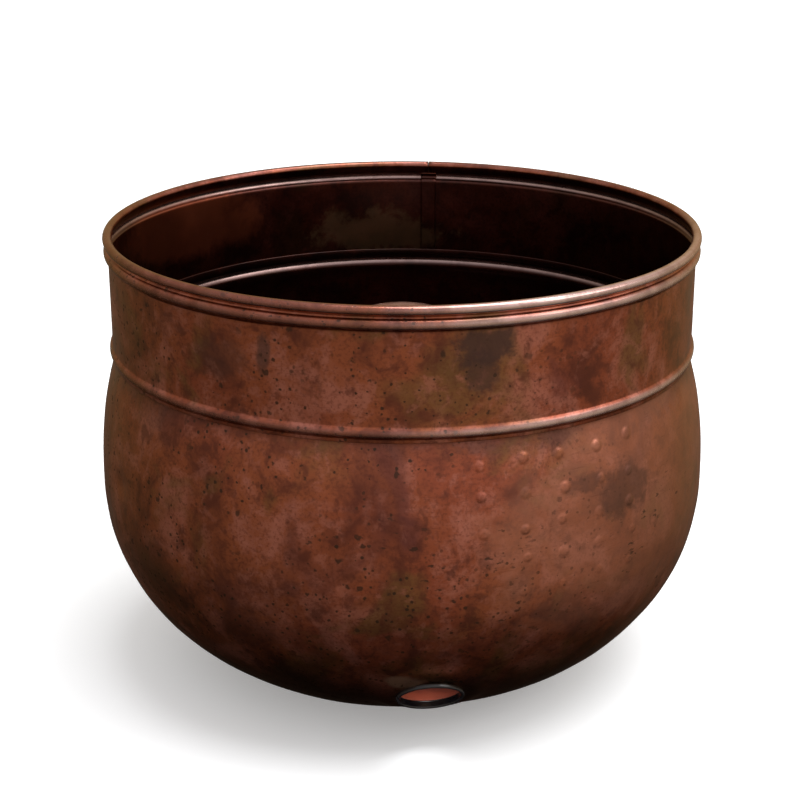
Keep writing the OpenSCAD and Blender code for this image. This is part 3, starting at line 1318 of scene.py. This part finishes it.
@dataclass
class Collar:
    """The rolled band with its two beads, the wired rim and the lapped seam at the back."""

    sizes: PotSizes
    skirt_drop: float = 0.0058
    belt_h: float = 0.0073
    belt_rise: float = 0.0020
    upper_drop: float = 0.0119
    upper_h: float = 0.0076
    upper_rise: float = 0.0029
    seam_angle: float = 78.0
    lap_width: float = 0.012
    band_gap: float = 0.00008
    nick_width: float = 0.0008
    roll_from: float = 188.0
    roll_to: float = -98.0
    roll_blend: float = 0.0008
    longest: float = 0.0045
    bend: float = 14.0
    dent_size: float = 0.09
    dent_depth: float = 0.00022
    steps: int = 400

    def outer_line(self) -> np.ndarray:
        """Returns the band's outer face, from its lower edge to below the roll."""
        s = self.sizes
        return np.vstack((
            [(s.band_r, s.belt_z - self.skirt_drop)],
            bead(s.band_r, s.belt_z, self.belt_rise, self.belt_h),
            bead(s.band_r, s.rim_top - self.upper_drop, self.upper_rise, self.upper_h),
        ))

    def middle_line(self) -> tuple[np.ndarray, np.ndarray]:
        """Returns the line through the sheet, from its lower edge round the wire, and its roll."""
        s = self.sizes
        half = s.sheet_t / 2
        outer = soften(self.outer_line(), BEAD_REACH)
        wrap_r = s.wire_r + s.fit_gap + half
        body = outer - half * outward(outer)
        roll = arc((s.band_r, s.roll_z), wrap_r, self.roll_from, self.roll_to)
        line = soften(np.vstack((body, roll)), 0.0003)
        roll_length = math.radians(self.roll_from - self.roll_to) * wrap_r
        reached = along(line) - (along(line)[-1] - roll_length)
        return line, np.clip(reached / self.roll_blend, 0.0, 1.0)

    def build(self, tree: bpy.types.NodeTree, finish: bpy.types.Material) -> bpy.types.Object:
        """Builds the collar.

        Args:
            tree: the turning tree.
            finish: the collar's material.

        Returns:
            The collar.
        """
        s = self.sizes
        line, rolled = self.middle_line()
        kept = thin_out(line, self.longest, self.bend)
        line, rolled = line[kept], rolled[kept]
        upper = line[:, 1] > (s.belt_z + s.rim_top) / 2
        rise = np.where(upper, self.upper_rise, self.belt_rise) - s.sheet_t / 2
        # The bead crests and the top of the roll are worn and carry a painted highlight.
        proud = np.clip((line[:, 0] - s.band_r) / rise, 0.0, 1.0) ** 3
        crest = np.clip((line[:, 1] - s.roll_z) / s.wire_r - 0.2, 0.0, 1.0)
        proud = np.maximum(proud, rolled * crest)
        gap = (self.band_gap + (self.nick_width - self.band_gap) * rolled) / 2 / s.band_r
        marks = {"wear": proud, "gap": gap, "dent": 1.0 - rolled * 0.5, "inner": 1.0 - rolled}
        first = math.radians(self.seam_angle)
        values = {"Steps": self.steps, "First Angle": first, "Sweep": math.tau}
        band = self._turned("rolled_collar", line, marks, tree, {**values, "Finish": finish})
        join(band, self._lap(tree, finish, first))
        return seat_piece(band, ("collar",))

    def _turned(
        self,
        name: str,
        line: np.ndarray,
        marks: dict[str, np.ndarray],
        tree: bpy.types.NodeTree,
        values: dict[str, object],
    ) -> bpy.types.Object:
        """Turns one stretch of the collar's sheet, with its slight dents.

        Args:
            name: the stretch's name.
            line: the line through its sheet.
            marks: mark name to its value at every point of the line.
            tree: the turning tree.
            values: the stretch's own inputs of the tree.

        Returns:
            The stretch.
        """
        section = Section.of_sheet(line, self.sizes.sheet_t, marks, AxisEnd.NONE)
        dents = {"Open Ends": 1.0, "Dent Size": self.dent_size, "Dent Depth": self.dent_depth}
        return turn_section(name, section, tree, {**dents, **values})

    def _lap(
        self, tree: bpy.types.NodeTree, finish: bpy.types.Material, first: float
    ) -> bpy.types.Object:
        """Builds the strip of sheet that lies behind the seam.

        Args:
            tree: the turning tree.
            finish: the collar's material.
            first: the seam's direction, in radians.

        Returns:
            The strip.
        """
        s = self.sizes
        line = soften(self.outer_line(), BEAD_REACH)
        low, high = s.neck_top + 0.001, s.rim_top - self.upper_drop + self.upper_h / 2
        line = line[(line[:, 1] > low) & (line[:, 1] < high)]
        line = line - (1.5 * s.sheet_t + s.fit_gap) * outward(line)
        line = line[thin_out(line, self.longest, self.bend)]
        turn = self.lap_width / s.band_r
        values = {"Steps": 10, "First Angle": first - turn / 2, "Sweep": turn, "Finish": finish}
        return self._turned("collar_lap", line, {"dent": np.ones(len(line))}, tree, values)


def join(first: bpy.types.Object, *others: bpy.types.Object) -> bpy.types.Object:
    """Joins meshes into the first one.

    Args:
        first: the object that stays.
        others: the objects that go into it.

    Returns:
        The first object.
    """
    body = bmesh.new()
    for shape in (first, *others):
        body.from_mesh(shape.data)
    body.to_mesh(first.data)
    body.free()
    for shape in others:
        bpy.data.objects.remove(shape)
    return first


@dataclass(frozen=True)
class Ding:
    """One knock in the wall: its direction, its height, how far it reaches and how deep it is."""

    angle: float
    height: float
    reach: float
    depth: float

    def depth_at(self, turn: np.ndarray, height: np.ndarray) -> np.ndarray:
        """Returns how far it pushes the wall in.

        Args:
            turn: each point's direction, in radians.
            height: each point's height.

        Returns:
            The depths, one for each point.
        """
        wall_r, flatness, fall = 0.205, 1.4, 1.6
        off = (turn - math.radians(self.angle) + math.pi) % math.tau - math.pi
        away = np.hypot(off * wall_r, (height - self.height) * flatness) / self.reach
        return self.depth * np.exp(-(away**2) * fall)


@dataclass
class Bowl:
    """The hammered bowl: base panel, flank, belly, shoulder, nested neck and port seat."""

    sizes: PotSizes
    collar: Collar
    base_r: float = 0.084
    panel_r: float = 0.072
    belly_z: float = 0.140
    flank_across: float = 1.66
    flank_along: float = 2.07
    shoulder_power: float = 2.4
    neck_down: float = 0.0017
    drain_r: float = 0.0035
    drain_ring_r: float = 0.067
    drain_count: int = 3
    seat_r: float = 0.0262
    seat_blend: float = 0.014
    seat_depth: float = 0.02
    seat_curves: tuple[float, float] = (0.19, 0.237)
    hole_play: float = 0.0010
    dent_size: float = 0.055
    dent_depth: float = 0.00055
    facet_size: float = 0.024
    facet_depth: float = 0.0003
    dent_fade: float = 0.02
    steps: int = 352
    pimple_columns: int = 48
    pimple_rows: int = 7
    pimple_top: float = 0.2135
    pimple_row_step: float = 0.0205
    pimple_r: float = 0.0049
    pimple_h: float = 0.00085
    pimple_stray: float = 0.0016
    dings: tuple[Ding, ...] = (
        Ding(-158.6, 0.160, 0.014, 0.0018),
        Ding(-168.0, 0.128, 0.020, 0.0012),
        Ding(-120.0, 0.118, 0.022, 0.0007),
        Ding(-97.0, 0.100, 0.026, 0.0006),
        Ding(-143.0, 0.090, 0.024, 0.0009),
        Ding(-40.0, 0.110, 0.024, 0.0008),
        Ding(35.0, 0.130, 0.020, 0.0010),
    )

    def outer_line(self) -> np.ndarray:
        """Returns the bowl's outer face, from the axis under the base to the neck's upper edge."""
        s = self.sizes
        lo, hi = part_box("bowl")
        belly_r = (hi.x - lo.x) / 2
        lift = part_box("winding_cone")[0].z - s.fit_gap - s.sheet_t
        neck = soften(self.collar.outer_line(), BEAD_REACH)
        neck = neck[neck[:, 1] < s.neck_top - s.sheet_t / 2]
        neck = neck - (s.sheet_t + s.fit_gap) * outward(neck)
        a = np.radians(np.linspace(90.0, 0.0, 91))
        flank = np.column_stack((
            self.base_r + (belly_r - self.base_r) * np.cos(a) ** (2 / self.flank_across),
            self.belly_z * (1 - np.sin(a) ** (2 / self.flank_along)),
        ))
        part = np.linspace(0.0, 1.0, 60)[1:]
        top = neck[0, 1] - self.neck_down
        shoulder = np.column_stack((
            belly_r - (belly_r - neck[0, 0]) * part**self.shoulder_power,
            self.belly_z + (top - self.belly_z) * part,
        ))
        panel = [(0.0, lift), (self.panel_r, lift), (self.panel_r + lift, 0.0)]
        return np.vstack((panel, flank, shoulder, neck))

    def build(self, tree: bpy.types.NodeTree, finish: bpy.types.Material) -> bpy.types.Object:
        """Builds the bowl.

        Args:
            tree: the turning tree.
            finish: the bowl's material.

        Returns:
            The bowl.
        """
        s = self.sizes
        outer = soften(self.outer_line(), 0.0006)
        middle = outer - s.sheet_t / 2 * outward(outer)
        middle = middle[thin_out(middle, 0.0046, 16.0)]
        height = middle[:, 1]
        shoulder_z = s.belt_z - 0.008
        below = np.clip((shoulder_z - height) / self.dent_fade, 0.0, 1.0)
        above = np.clip((height - 0.004) / self.dent_fade, 0.0, 1.0)
        outside_neck = np.clip((middle[:, 0] - s.band_r + 0.001) / 0.002, 0.0, 1.0)
        section = Section.of_sheet(middle, s.sheet_t, {
            # The neck's bead is worn and carries a painted highlight.
            "wear": outside_neck * (height > shoulder_z),
            "dent": below * above,
            # Inside faces get painted shade, doubled at the neck's top edge so that its sheen stays
            # dark.
            "inner": np.where(height > s.neck_top - 0.002, 2.0, 1.0),
        }, AxisEnd.FIRST)
        bowl = turn_section("hammered_bowl", section, tree, {
            "Steps": self.steps,
            "Dent Size": self.dent_size,
            "Dent Depth": self.dent_depth,
            "Facet Size": self.facet_size,
            "Facet Depth": self.facet_depth,
            "Seed": 2.0,
            "Finish": finish,
        })
        self._knock(bowl)
        self._raise_port_seat(bowl)
        self._cut_holes(bowl)
        return seat_piece(bowl, ("bowl",))

    def _knock(self, bowl: bpy.types.Object) -> None:
        """Pushes the wall in at each ding, both faces alike.

        Args:
            bowl: the turned bowl.
        """
        places = read_places(bowl)
        turn = np.arctan2(places[:, 1], places[:, 0])
        ray = np.column_stack((np.cos(turn), np.sin(turn), np.zeros(len(turn))))
        far = (np.hypot(places[:, 0], places[:, 1]) > self.base_r)[:, None]
        for ding in self.dings:
            places -= ray * ding.depth_at(turn, places[:, 2])[:, None] * far
        write_places(bowl, places)

    def _raise_port_seat(self, bowl: bpy.types.Object) -> None:
        """Flattens and raises the wall round the port, so that the grommet seats on it.

        Args:
            bowl: the turned bowl.
        """
        places = read_places(bowl)
        frame = np.array(self.sizes.port_frame())
        local = (places - frame[:3, 3]) @ frame[:3, :3]
        away = np.hypot(local[:, 0], local[:, 1])
        near = (away < self.seat_r + self.seat_blend) & (np.abs(local[:, 2]) < self.seat_depth)
        across, upward = self.seat_curves
        fall = -(away**2) / 2 * (0.5 / across + 0.5 / upward)
        outer_side = local[:, 2] > fall - self.sizes.sheet_t / 2
        target = np.where(outer_side, 0.0, -self.sizes.sheet_t)
        part = np.clip((self.seat_r + self.seat_blend - away) / self.seat_blend, 0.0, 1.0)
        weight = part * part * (3 - 2 * part)
        local[near, 2] += ((target - local[:, 2]) * weight)[near]
        places[near] = (local @ frame[:3, :3].T + frame[:3, 3])[near]
        write_places(bowl, places)

    def _cut_holes(self, bowl: bpy.types.Object) -> None:
        """Cuts the hose port and the drain holes.

        Args:
            bowl: the bowl, with its seat raised.
        """
        s = self.sizes
        cutters = [pillar("port_cutter", s.port_bore_r + self.hole_play, 0.03, s.port_frame(), 96)]
        for i in range(self.drain_count):
            turn = math.radians(90.0) + math.tau * i / self.drain_count
            x, y = self.drain_ring_r * math.cos(turn), self.drain_ring_r * math.sin(turn)
            spot = Matrix.Translation((x, y, 0.0))
            cutters.append(pillar(f"drain_cutter_{i}", self.drain_r, 0.02, spot, 32))
        cutter = join(*cutters)
        cut = bowl.modifiers.new("holes", "BOOLEAN")
        cut.operation = "DIFFERENCE"
        cut.solver = "MANIFOLD"
        cut.object = cutter
        bake_modifiers(bowl)
        bpy.data.objects.remove(cutter)
        bowl.data.set_sharp_from_angle(angle=SHARP)

    def build_pimples(
        self, tree: bpy.types.NodeTree, bowl: bpy.types.Object, finish: bpy.types.Material
    ) -> bpy.types.Object:
        """Builds the raised hammer marks on the bowl's wall.

        Args:
            tree: the pimple tree.
            bowl: the finished bowl.
            finish: the bowl's material.

        Returns:
            The marks, as one piece.
        """
        marks = dome("hammer_pimples", self.pimple_r, self.pimple_h)
        run_tree(marks, tree, {
            "Wall": bowl,
            "Columns": self.pimple_columns,
            "Rows": self.pimple_rows,
            "Top": self.pimple_top,
            "Row Step": self.pimple_row_step,
            "Stray": self.pimple_stray,
            "Worked Side": level_ray(PITTED_SIDE),
            "Seed": 5,
            "Finish": finish,
        })
        return seat_piece(marks, ())


def pillar(name: str, radius: float, length: float, place: Matrix, sides: int) -> bpy.types.Object:
    """Makes an upright closed cylinder centred on a frame's origin.

    Args:
        name: its name.
        radius: its radius.
        length: its length.
        place: the frame that it stands in.
        sides: its number of sides.

    Returns:
        The cylinder.
    """
    ends = [circle(radius, z, sides) for z in (-length / 2, length / 2)]
    points = [place @ Vector(point) for end in ends for point in end]
    walls = [(i, (i + 1) % sides, sides + (i + 1) % sides, sides + i) for i in range(sides)]
    lids = [tuple(reversed(range(sides))), tuple(range(sides, 2 * sides))]
    return mesh_object(name, points, [], lids + walls)


def dome(
    name: str, radius: float, height: float, rings: int = 10, sides: int = 20
) -> bpy.types.Object:
    """Makes one low, flat-topped mark whose foot dips just under the wall.

    Args:
        name: its name.
        radius: its foot's radius.
        height: its height.
        rings: its number of rings.
        sides: its number of sides.

    Returns:
        The mark, on the origin.
    """
    steepness = 1.5
    sink = 0.00007
    points = [(0.0, 0.0, height - sink)]
    for ring in range(1, rings + 1):
        part = ring / rings
        z = height * math.exp(-((part * steepness) ** 4)) - sink
        points += circle(radius * part, z, sides)
    faces = [(0, 1 + i, 1 + (i + 1) % sides) for i in range(sides)]
    for ring in range(rings - 1):
        low = 1 + ring * sides
        for i in range(sides):
            j = (i + 1) % sides
            faces.append((low + i, low + sides + i, low + sides + j, low + j))
    return mesh_object(name, points, [], faces)


@dataclass
class HosePort:
    """The black grommet in the hose port, with a rounded lip on each side of the sheet."""

    sizes: PotSizes
    wall: float = 0.0010
    lip_w: float = 0.0023
    outer_lip_h: float = 0.0026
    inner_lip_h: float = 0.0019
    steps: int = 128

    def outline(self) -> np.ndarray:
        """Returns the grommet's closed outline, in the port's own frame."""
        s = self.sizes
        bore, r = s.port_bore_r, self.lip_w / 2
        outer_top = s.fit_gap + self.outer_lip_h - r
        inner_top = -s.sheet_t - s.fit_gap - self.inner_lip_h + r
        waist = bore + self.wall
        line = np.vstack((
            arc((bore + r, inner_top), r, 180.0, 360.0, 16),
            [(bore + self.lip_w, -s.sheet_t - s.fit_gap), (waist, -s.sheet_t - s.fit_gap)],
            [(waist, s.fit_gap), (bore + self.lip_w, s.fit_gap)],
            arc((bore + r, outer_top), r, 0.0, 180.0, 16),
        ))
        return np.vstack((line, line[:1]))

    def build(self, tree: bpy.types.NodeTree, finish: bpy.types.Material) -> bpy.types.Object:
        """Builds the grommet.

        Args:
            tree: the turning tree.
            finish: the grommet's material.

        Returns:
            The grommet.
        """
        section = Section.of_outline(self.outline())
        ring = turn_section("port_grommet", section, tree, {"Steps": self.steps, "Finish": finish})
        ring.data.transform(self.sizes.port_frame())
        ring.data.set_sharp_from_angle(angle=SHARP)
        return seat_piece(ring, ("hose_port_grommet",))


@dataclass
class WindingCone:
    """The spun cone that the hose is wound round, and the rivets that hold it down."""

    sizes: PotSizes
    top_r: float = 0.036
    round_r: float = 0.009
    foot_r: float = 0.042
    flare_r: float = 0.010
    rivet_count: int = 4
    rivet_ring_r: float = 0.057
    rivet_r: float = 0.002
    head_r: float = 0.0038
    head_h: float = 0.0018
    tail_r: float = 0.0034
    tail_h: float = 0.0015
    tail_chamfer: float = 0.0003
    worn_and_lit_depth: float = 0.010
    steps: int = 160

    def middle_line(self) -> np.ndarray:
        """Returns the line through the cone's sheet, from the flange's edge to the top."""
        lo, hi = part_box("winding_cone")
        flange_top = lo.z + self.sizes.sheet_t
        wall_h = hi.z - self.round_r - flange_top - self.flare_r
        lean = math.degrees(math.atan2(self.foot_r - self.top_r, wall_h))
        flare_centre = (self.foot_r + self.flare_r, flange_top + self.flare_r)
        outer = np.vstack((
            [(hi.x, flange_top)],
            arc(flare_centre, self.flare_r, 270.0, 180.0 + lean),
            arc((self.top_r - self.round_r, hi.z - self.round_r), self.round_r, lean, 90.0),
            [(0.0, hi.z)],
        ))
        outer = soften(outer, 0.0008)
        return outer - self.sizes.sheet_t / 2 * outward(outer)

    def build(self, tree: bpy.types.NodeTree, finish: bpy.types.Material) -> bpy.types.Object:
        """Builds the cone.

        Args:
            tree: the turning tree.
            finish: the cone's material.

        Returns:
            The cone.
        """
        middle = self.middle_line()
        middle = middle[thin_out(middle, 0.005, 12.0)]
        top = middle[:, 1].max()
        # The top band is worn and carries a painted highlight.
        wear = np.clip((middle[:, 1] - top + self.worn_and_lit_depth) / self.worn_and_lit_depth, 0.0, 1.0)
        marks = {"wear": wear * 0.8, "dent": np.ones(len(middle))}
        section = Section.of_sheet(middle, self.sizes.sheet_t, marks, AxisEnd.LAST)
        dents = {"Dent Size": 0.05, "Dent Depth": 0.0002}
        values = {"Steps": self.steps, "Finish": finish, **dents}
        cone = turn_section("spun_cone", section, tree, values)
        return seat_piece(cone, ("winding_cone",))

    def build_rivets(
        self, turning: bpy.types.NodeTree, ring: bpy.types.NodeTree, finish: bpy.types.Material
    ) -> bpy.types.Object:
        """Builds the rivets.

        Args:
            turning: the turning tree.
            ring: the fastener ring tree.
            finish: the rivets' material.

        Returns:
            The rivets, as one piece.
        """
        s, chamfer = self.sizes, self.tail_chamfer
        low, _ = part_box("cone_rivets")
        flange_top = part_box("winding_cone")[0].z + s.sheet_t + s.fit_gap
        dome_r = (self.head_r**2 + self.head_h**2) / (2 * self.head_h)
        half = math.degrees(math.asin(self.head_r / dome_r))
        outline = np.vstack((
            [(0.0, low.z), (self.tail_r - chamfer, low.z), (self.tail_r, low.z + chamfer)],
            [(self.tail_r, low.z + self.tail_h), (self.rivet_r, low.z + self.tail_h)],
            [(self.rivet_r, flange_top), (self.head_r, flange_top)],
            arc((0.0, flange_top + self.head_h - dome_r), dome_r, 90.0 - half, 90.0, 8),
        ))
        outline[-1, 0] = 0.0
        section = Section.of_outline(outline)
        rivets = turn_section("rivet_set", section, turning, {"Steps": 24, "Finish": finish})
        rivets.data.set_sharp_from_angle(angle=math.radians(40.0))
        run_tree(rivets, ring, {
            "Count": self.rivet_count,
            "Radius": self.rivet_ring_r,
            "First Angle": math.radians(45.0),
            "Finish": finish,
        })
        return seat_piece(rivets, ("cone_rivets",))


# ---------------------------------------------------------------- studio


@dataclass
class Studio:
    """The pale floor, the soft lights and the camera."""

    aim_z: float = 0.185
    azimuth: float = -6.0
    elevation: float = 19.57
    distance: float = 1.266
    lens: float = 80.7
    shift_x: float = -0.0025
    floor_half: float = 14.0
    floor_lift: float = 0.26
    sun_azimuth: float = -15.0
    sun_elevation: float = 75.0
    sun_spread: float = 42.0
    sun_power: float = 2.0
    key_azimuth: float = -24.0
    key_elevation: float = 38.0
    key_distance: float = 2.2
    key_watts: float = 10.0
    surroundings: tuple[tuple[float, Colour], ...] = (
        (0.00, (0.004, 0.003, 0.003)),
        (0.09, (0.018, 0.014, 0.013)),
        (0.19, (0.115, 0.098, 0.088)),
        (0.33, (0.330, 0.285, 0.215)),
        (0.50, (0.480, 0.420, 0.330)),
        (0.66, (0.720, 0.660, 0.590)),
        (0.95, (0.960, 0.950, 0.970)),
    )

    def build(self) -> None:
        """Builds the floor, the surroundings, the lights and the camera."""
        self._floor()
        self._surroundings()
        self._key_light()
        self._sun()
        self._camera()
        view = bpy.context.scene.view_settings
        view.view_transform = "Standard"
        view.look = "None"

    @staticmethod
    def direction(azimuth: float, elevation: float) -> Vector:
        """Returns the unit vector from the pot toward a direction given in degrees."""
        a, e = math.radians(azimuth), math.radians(elevation)
        return Vector((math.cos(a) * math.cos(e), math.sin(a) * math.cos(e), math.sin(e)))

    def _floor(self) -> None:
        """Lays the pale floor."""
        h = self.floor_half
        corners = [(-h, -h, 0.0), (h, -h, 0.0), (h, h, 0.0), (-h, h, 0.0)]
        floor = mesh_object("studio_floor", corners, [], [(0, 1, 2, 3)])
        material, w, shader, place = blank_material("pale_floor")
        tone = w.noise(place, 3.0, detail=2.0)
        w.feed_all(shader, {
            "Base Color": w.blend(tone, (0.855, 0.880, 0.900), (0.870, 0.895, 0.915)),
            "Roughness": 0.9,
            "Specular IOR Level": 0.0,
            "Emission Color": (1.0, 1.0, 1.0, 1.0),
            "Emission Strength": self.floor_lift,
        })
        floor.data.materials.append(material)
        floor.visible_glossy = False

    def _surroundings(self) -> None:
        """Makes the soft light that comes from all round: dark below and behind, pale above."""
        world = bpy.data.worlds.new("studio")
        bpy.context.scene.world = world
        world.use_nodes = True
        world.node_tree.nodes.clear()
        w = Wiring(world.node_tree)
        around = w.add("ShaderNodeTexCoord").outputs["Generated"]
        way = w.add("ShaderNodeSeparateXYZ", {0: around}).outputs
        lift = w.minus(way[2], w.times(way[1], 0.35))
        ramp = w.add("ShaderNodeValToRGB", {0: w.over(w.plus(lift, 1.1), 2.2)})
        stops = ramp.color_ramp.elements
        while len(stops) < len(self.surroundings):
            stops.new(0.5)
        for stop, (place, colour) in zip(stops, self.surroundings):
            stop.position, stop.color = place, (*colour, 1.0)
        strength = w.spread(way[0], -1.0, 1.0, 0.8, 1.25)
        back = w.add("ShaderNodeBackground", {0: ramp.outputs[0], 1: strength}).outputs[0]
        w.add("ShaderNodeOutputWorld", {0: back})

    def _lamp(self, data: bpy.types.Light, azimuth: float, elevation: float) -> None:
        """Hangs one light that faces the pot.

        Args:
            data: the light.
            azimuth: its direction from the pot, in degrees.
            elevation: its height above the horizon, in degrees.
        """
        way = self.direction(azimuth, elevation)
        lamp = link_new(data.name, data)
        lamp.location = Vector((0.0, 0.0, self.aim_z)) + way * self.key_distance
        lamp.rotation_euler = way.to_track_quat("Z", "Y").to_euler()

    def _key_light(self) -> None:
        """Hangs the soft light at the front right."""
        data = bpy.data.lights.new("key_light", "AREA")
        data.shape = "RECTANGLE"
        data.size, data.size_y = 1.3, 1.0
        data.energy = self.key_watts
        data.color = (1.0, 0.97, 0.94)
        self._lamp(data, self.key_azimuth, self.key_elevation)

    def _sun(self) -> None:
        """Hangs the large overhead light that shapes the rim and the shadow."""
        data = bpy.data.lights.new("overhead_light", "SUN")
        data.angle = math.radians(self.sun_spread)
        data.energy = self.sun_power
        self._lamp(data, self.sun_azimuth, self.sun_elevation)

    def _camera(self) -> None:
        """Sets up the camera."""
        data = bpy.data.cameras.new("camera")
        data.sensor_width = 36.0
        data.lens = self.lens
        data.shift_x = self.shift_x
        camera = link_new("camera", data)
        a, e = math.radians(self.azimuth), math.radians(self.elevation)
        back = Vector((math.sin(a) * math.cos(e), -math.cos(a) * math.cos(e), math.sin(e)))
        camera.location = Vector((0.0, 0.0, self.aim_z)) + back * self.distance
        camera.rotation_euler = (-back).to_track_quat("-Z", "Y").to_euler()
        bpy.context.scene.camera = camera


# ---------------------------------------------------------------- the pot


def dress_wire(frame: dict, finish: bpy.types.Material) -> None:
    """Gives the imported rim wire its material.

    Args:
        finish: the wire's material.
    """
    wire = frame["nodes"]["rim_wire"]
    for place in wire.material_slots:
        place.material = finish
    log.info("rim_wire: kept from the packed part")


def main(frame: dict) -> None:
    """Builds every piece of the pot and the studio round it.
    """
    logging.basicConfig(level=logging.INFO, format="%(name)s: %(message)s")
    Studio().build()
    effects = Effects()
    sizes = PotSizes.from_frame(frame)
    hammered = AgedCopper(
        "hammered_copper",
        pitted=0.9,
        # Painted shade toward the bottom, and from just under the belt bead upward.
        shade_bands=((0.085, 0.030, 0.85), (0.214, 0.232, 0.55)),
        stains_and_lit_patches=(
            TintPatch(-48.0, 0.165, 0.206, (0.130, 0.130, 0.085), 0.45, 26.0, 0.6, (0.430, 0.180, 0.120)),
            TintPatch(-150.0, 0.115, 0.200, (0.040, 0.040, 0.028), 0.55, 45.0, 1.0, (0.090, 0.022, 0.014)),
            TintPatch(-125.0, 0.100, 0.195, (0.030, 0.030, 0.022), 0.55, 50.0, 1.0, (0.090, 0.022, 0.014)),
            TintPatch(-54.0, 0.180, 0.2075, (0.024, 0.024, 0.017), 0.60, 55.0, 1.0),
            TintPatch(-63.0, 0.192, 0.2065, (0.016, 0.016, 0.007), 0.45, 80.0, 1.0),
            # Painted reflection: a light patch above and left of the port, where the raised seat catches
            # the light.
            TintPatch(-95.5, 0.063, 0.185, (0.016, 0.016, 0.007), 0.85, 60.0, 0.5, (0.420, 0.240, 0.160)),
        ),
        # Painted light: the inner floor seen through the port, lit from above.
        lit_patches=(
            TintPatch(-90.0, 0.004, 0.080, (0.070, 0.060, 0.030), 0.9, 40.0, 0.4, (0.480, 0.170, 0.140)),
        ),
    ).build(effects)
    band = AgedCopper(
        "band_copper",
        seed=3.0,
        hammering=0.03,
        streaks=0.25,
        stains_and_lit_patches=(
            TintPatch(-81.5, 0.287, 0.1992, (0.021, 0.021, 0.015), 0.85, 75.0, 0.9, (0.058, 0.026, 0.022)),
            TintPatch(-82.5, 0.271, 0.1992, (0.011, 0.011, 0.014), 0.70, 90.0, 1.0, (0.058, 0.026, 0.022)),
            TintPatch(-120.5, 0.279, 0.1992, (0.0055, 0.0055, 0.015), 0.70, 80.0, 0.7),
            TintPatch(-130.0, 0.272, 0.1992, (0.020, 0.020, 0.016), 0.35, 50.0, 1.0),
        ),
        # Painted light inside: a lit patch at the back and a warm glow on the inner left wall.
        lit_patches=(
            TintPatch(90.0, 0.257, 0.1985, (0.060, 0.020, 0.017), 0.30, 45.0, 1.3, (0.330, 0.210, 0.105)),
            TintPatch(140.0, 0.282, 0.1985, (0.080, 0.080, 0.026), 0.60, 22.0, 0.9, (0.330, 0.075, 0.030)),
        ),
    ).build(effects)
    spun = AgedCopper(
        "spun_copper",
        seed=6.0,
        shaded_side_share=1.0,
        specks=0.15,
        streaks=0.1,
        hammering=0.02,
        rosy=(0.5, 0.3, 0.26),
        # The cone's top band goes toward this pale colour: worn, and a painted highlight.
        worn_highlight=(0.85, 0.58, 0.53),
    ).build(effects)
    turning = turning_tree()
    collar = Collar(sizes)
    collar.build(turning, band)
    bowl = Bowl(sizes, collar)
    wall = bowl.build(turning, hammered)
    bowl.build_pimples(pimple_tree(), wall, hammered)
    HosePort(sizes).build(turning, MouldedRubber("grommet_rubber").build(effects))
    cone = WindingCone(sizes)
    cone.build(turning, spun)
    cone.build_rivets(turning, ring_tree(), spun)
    dress_wire(frame, DrawnSteel("rim_steel").build())


if __name__ == "__main__":
    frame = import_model()
    main(frame)
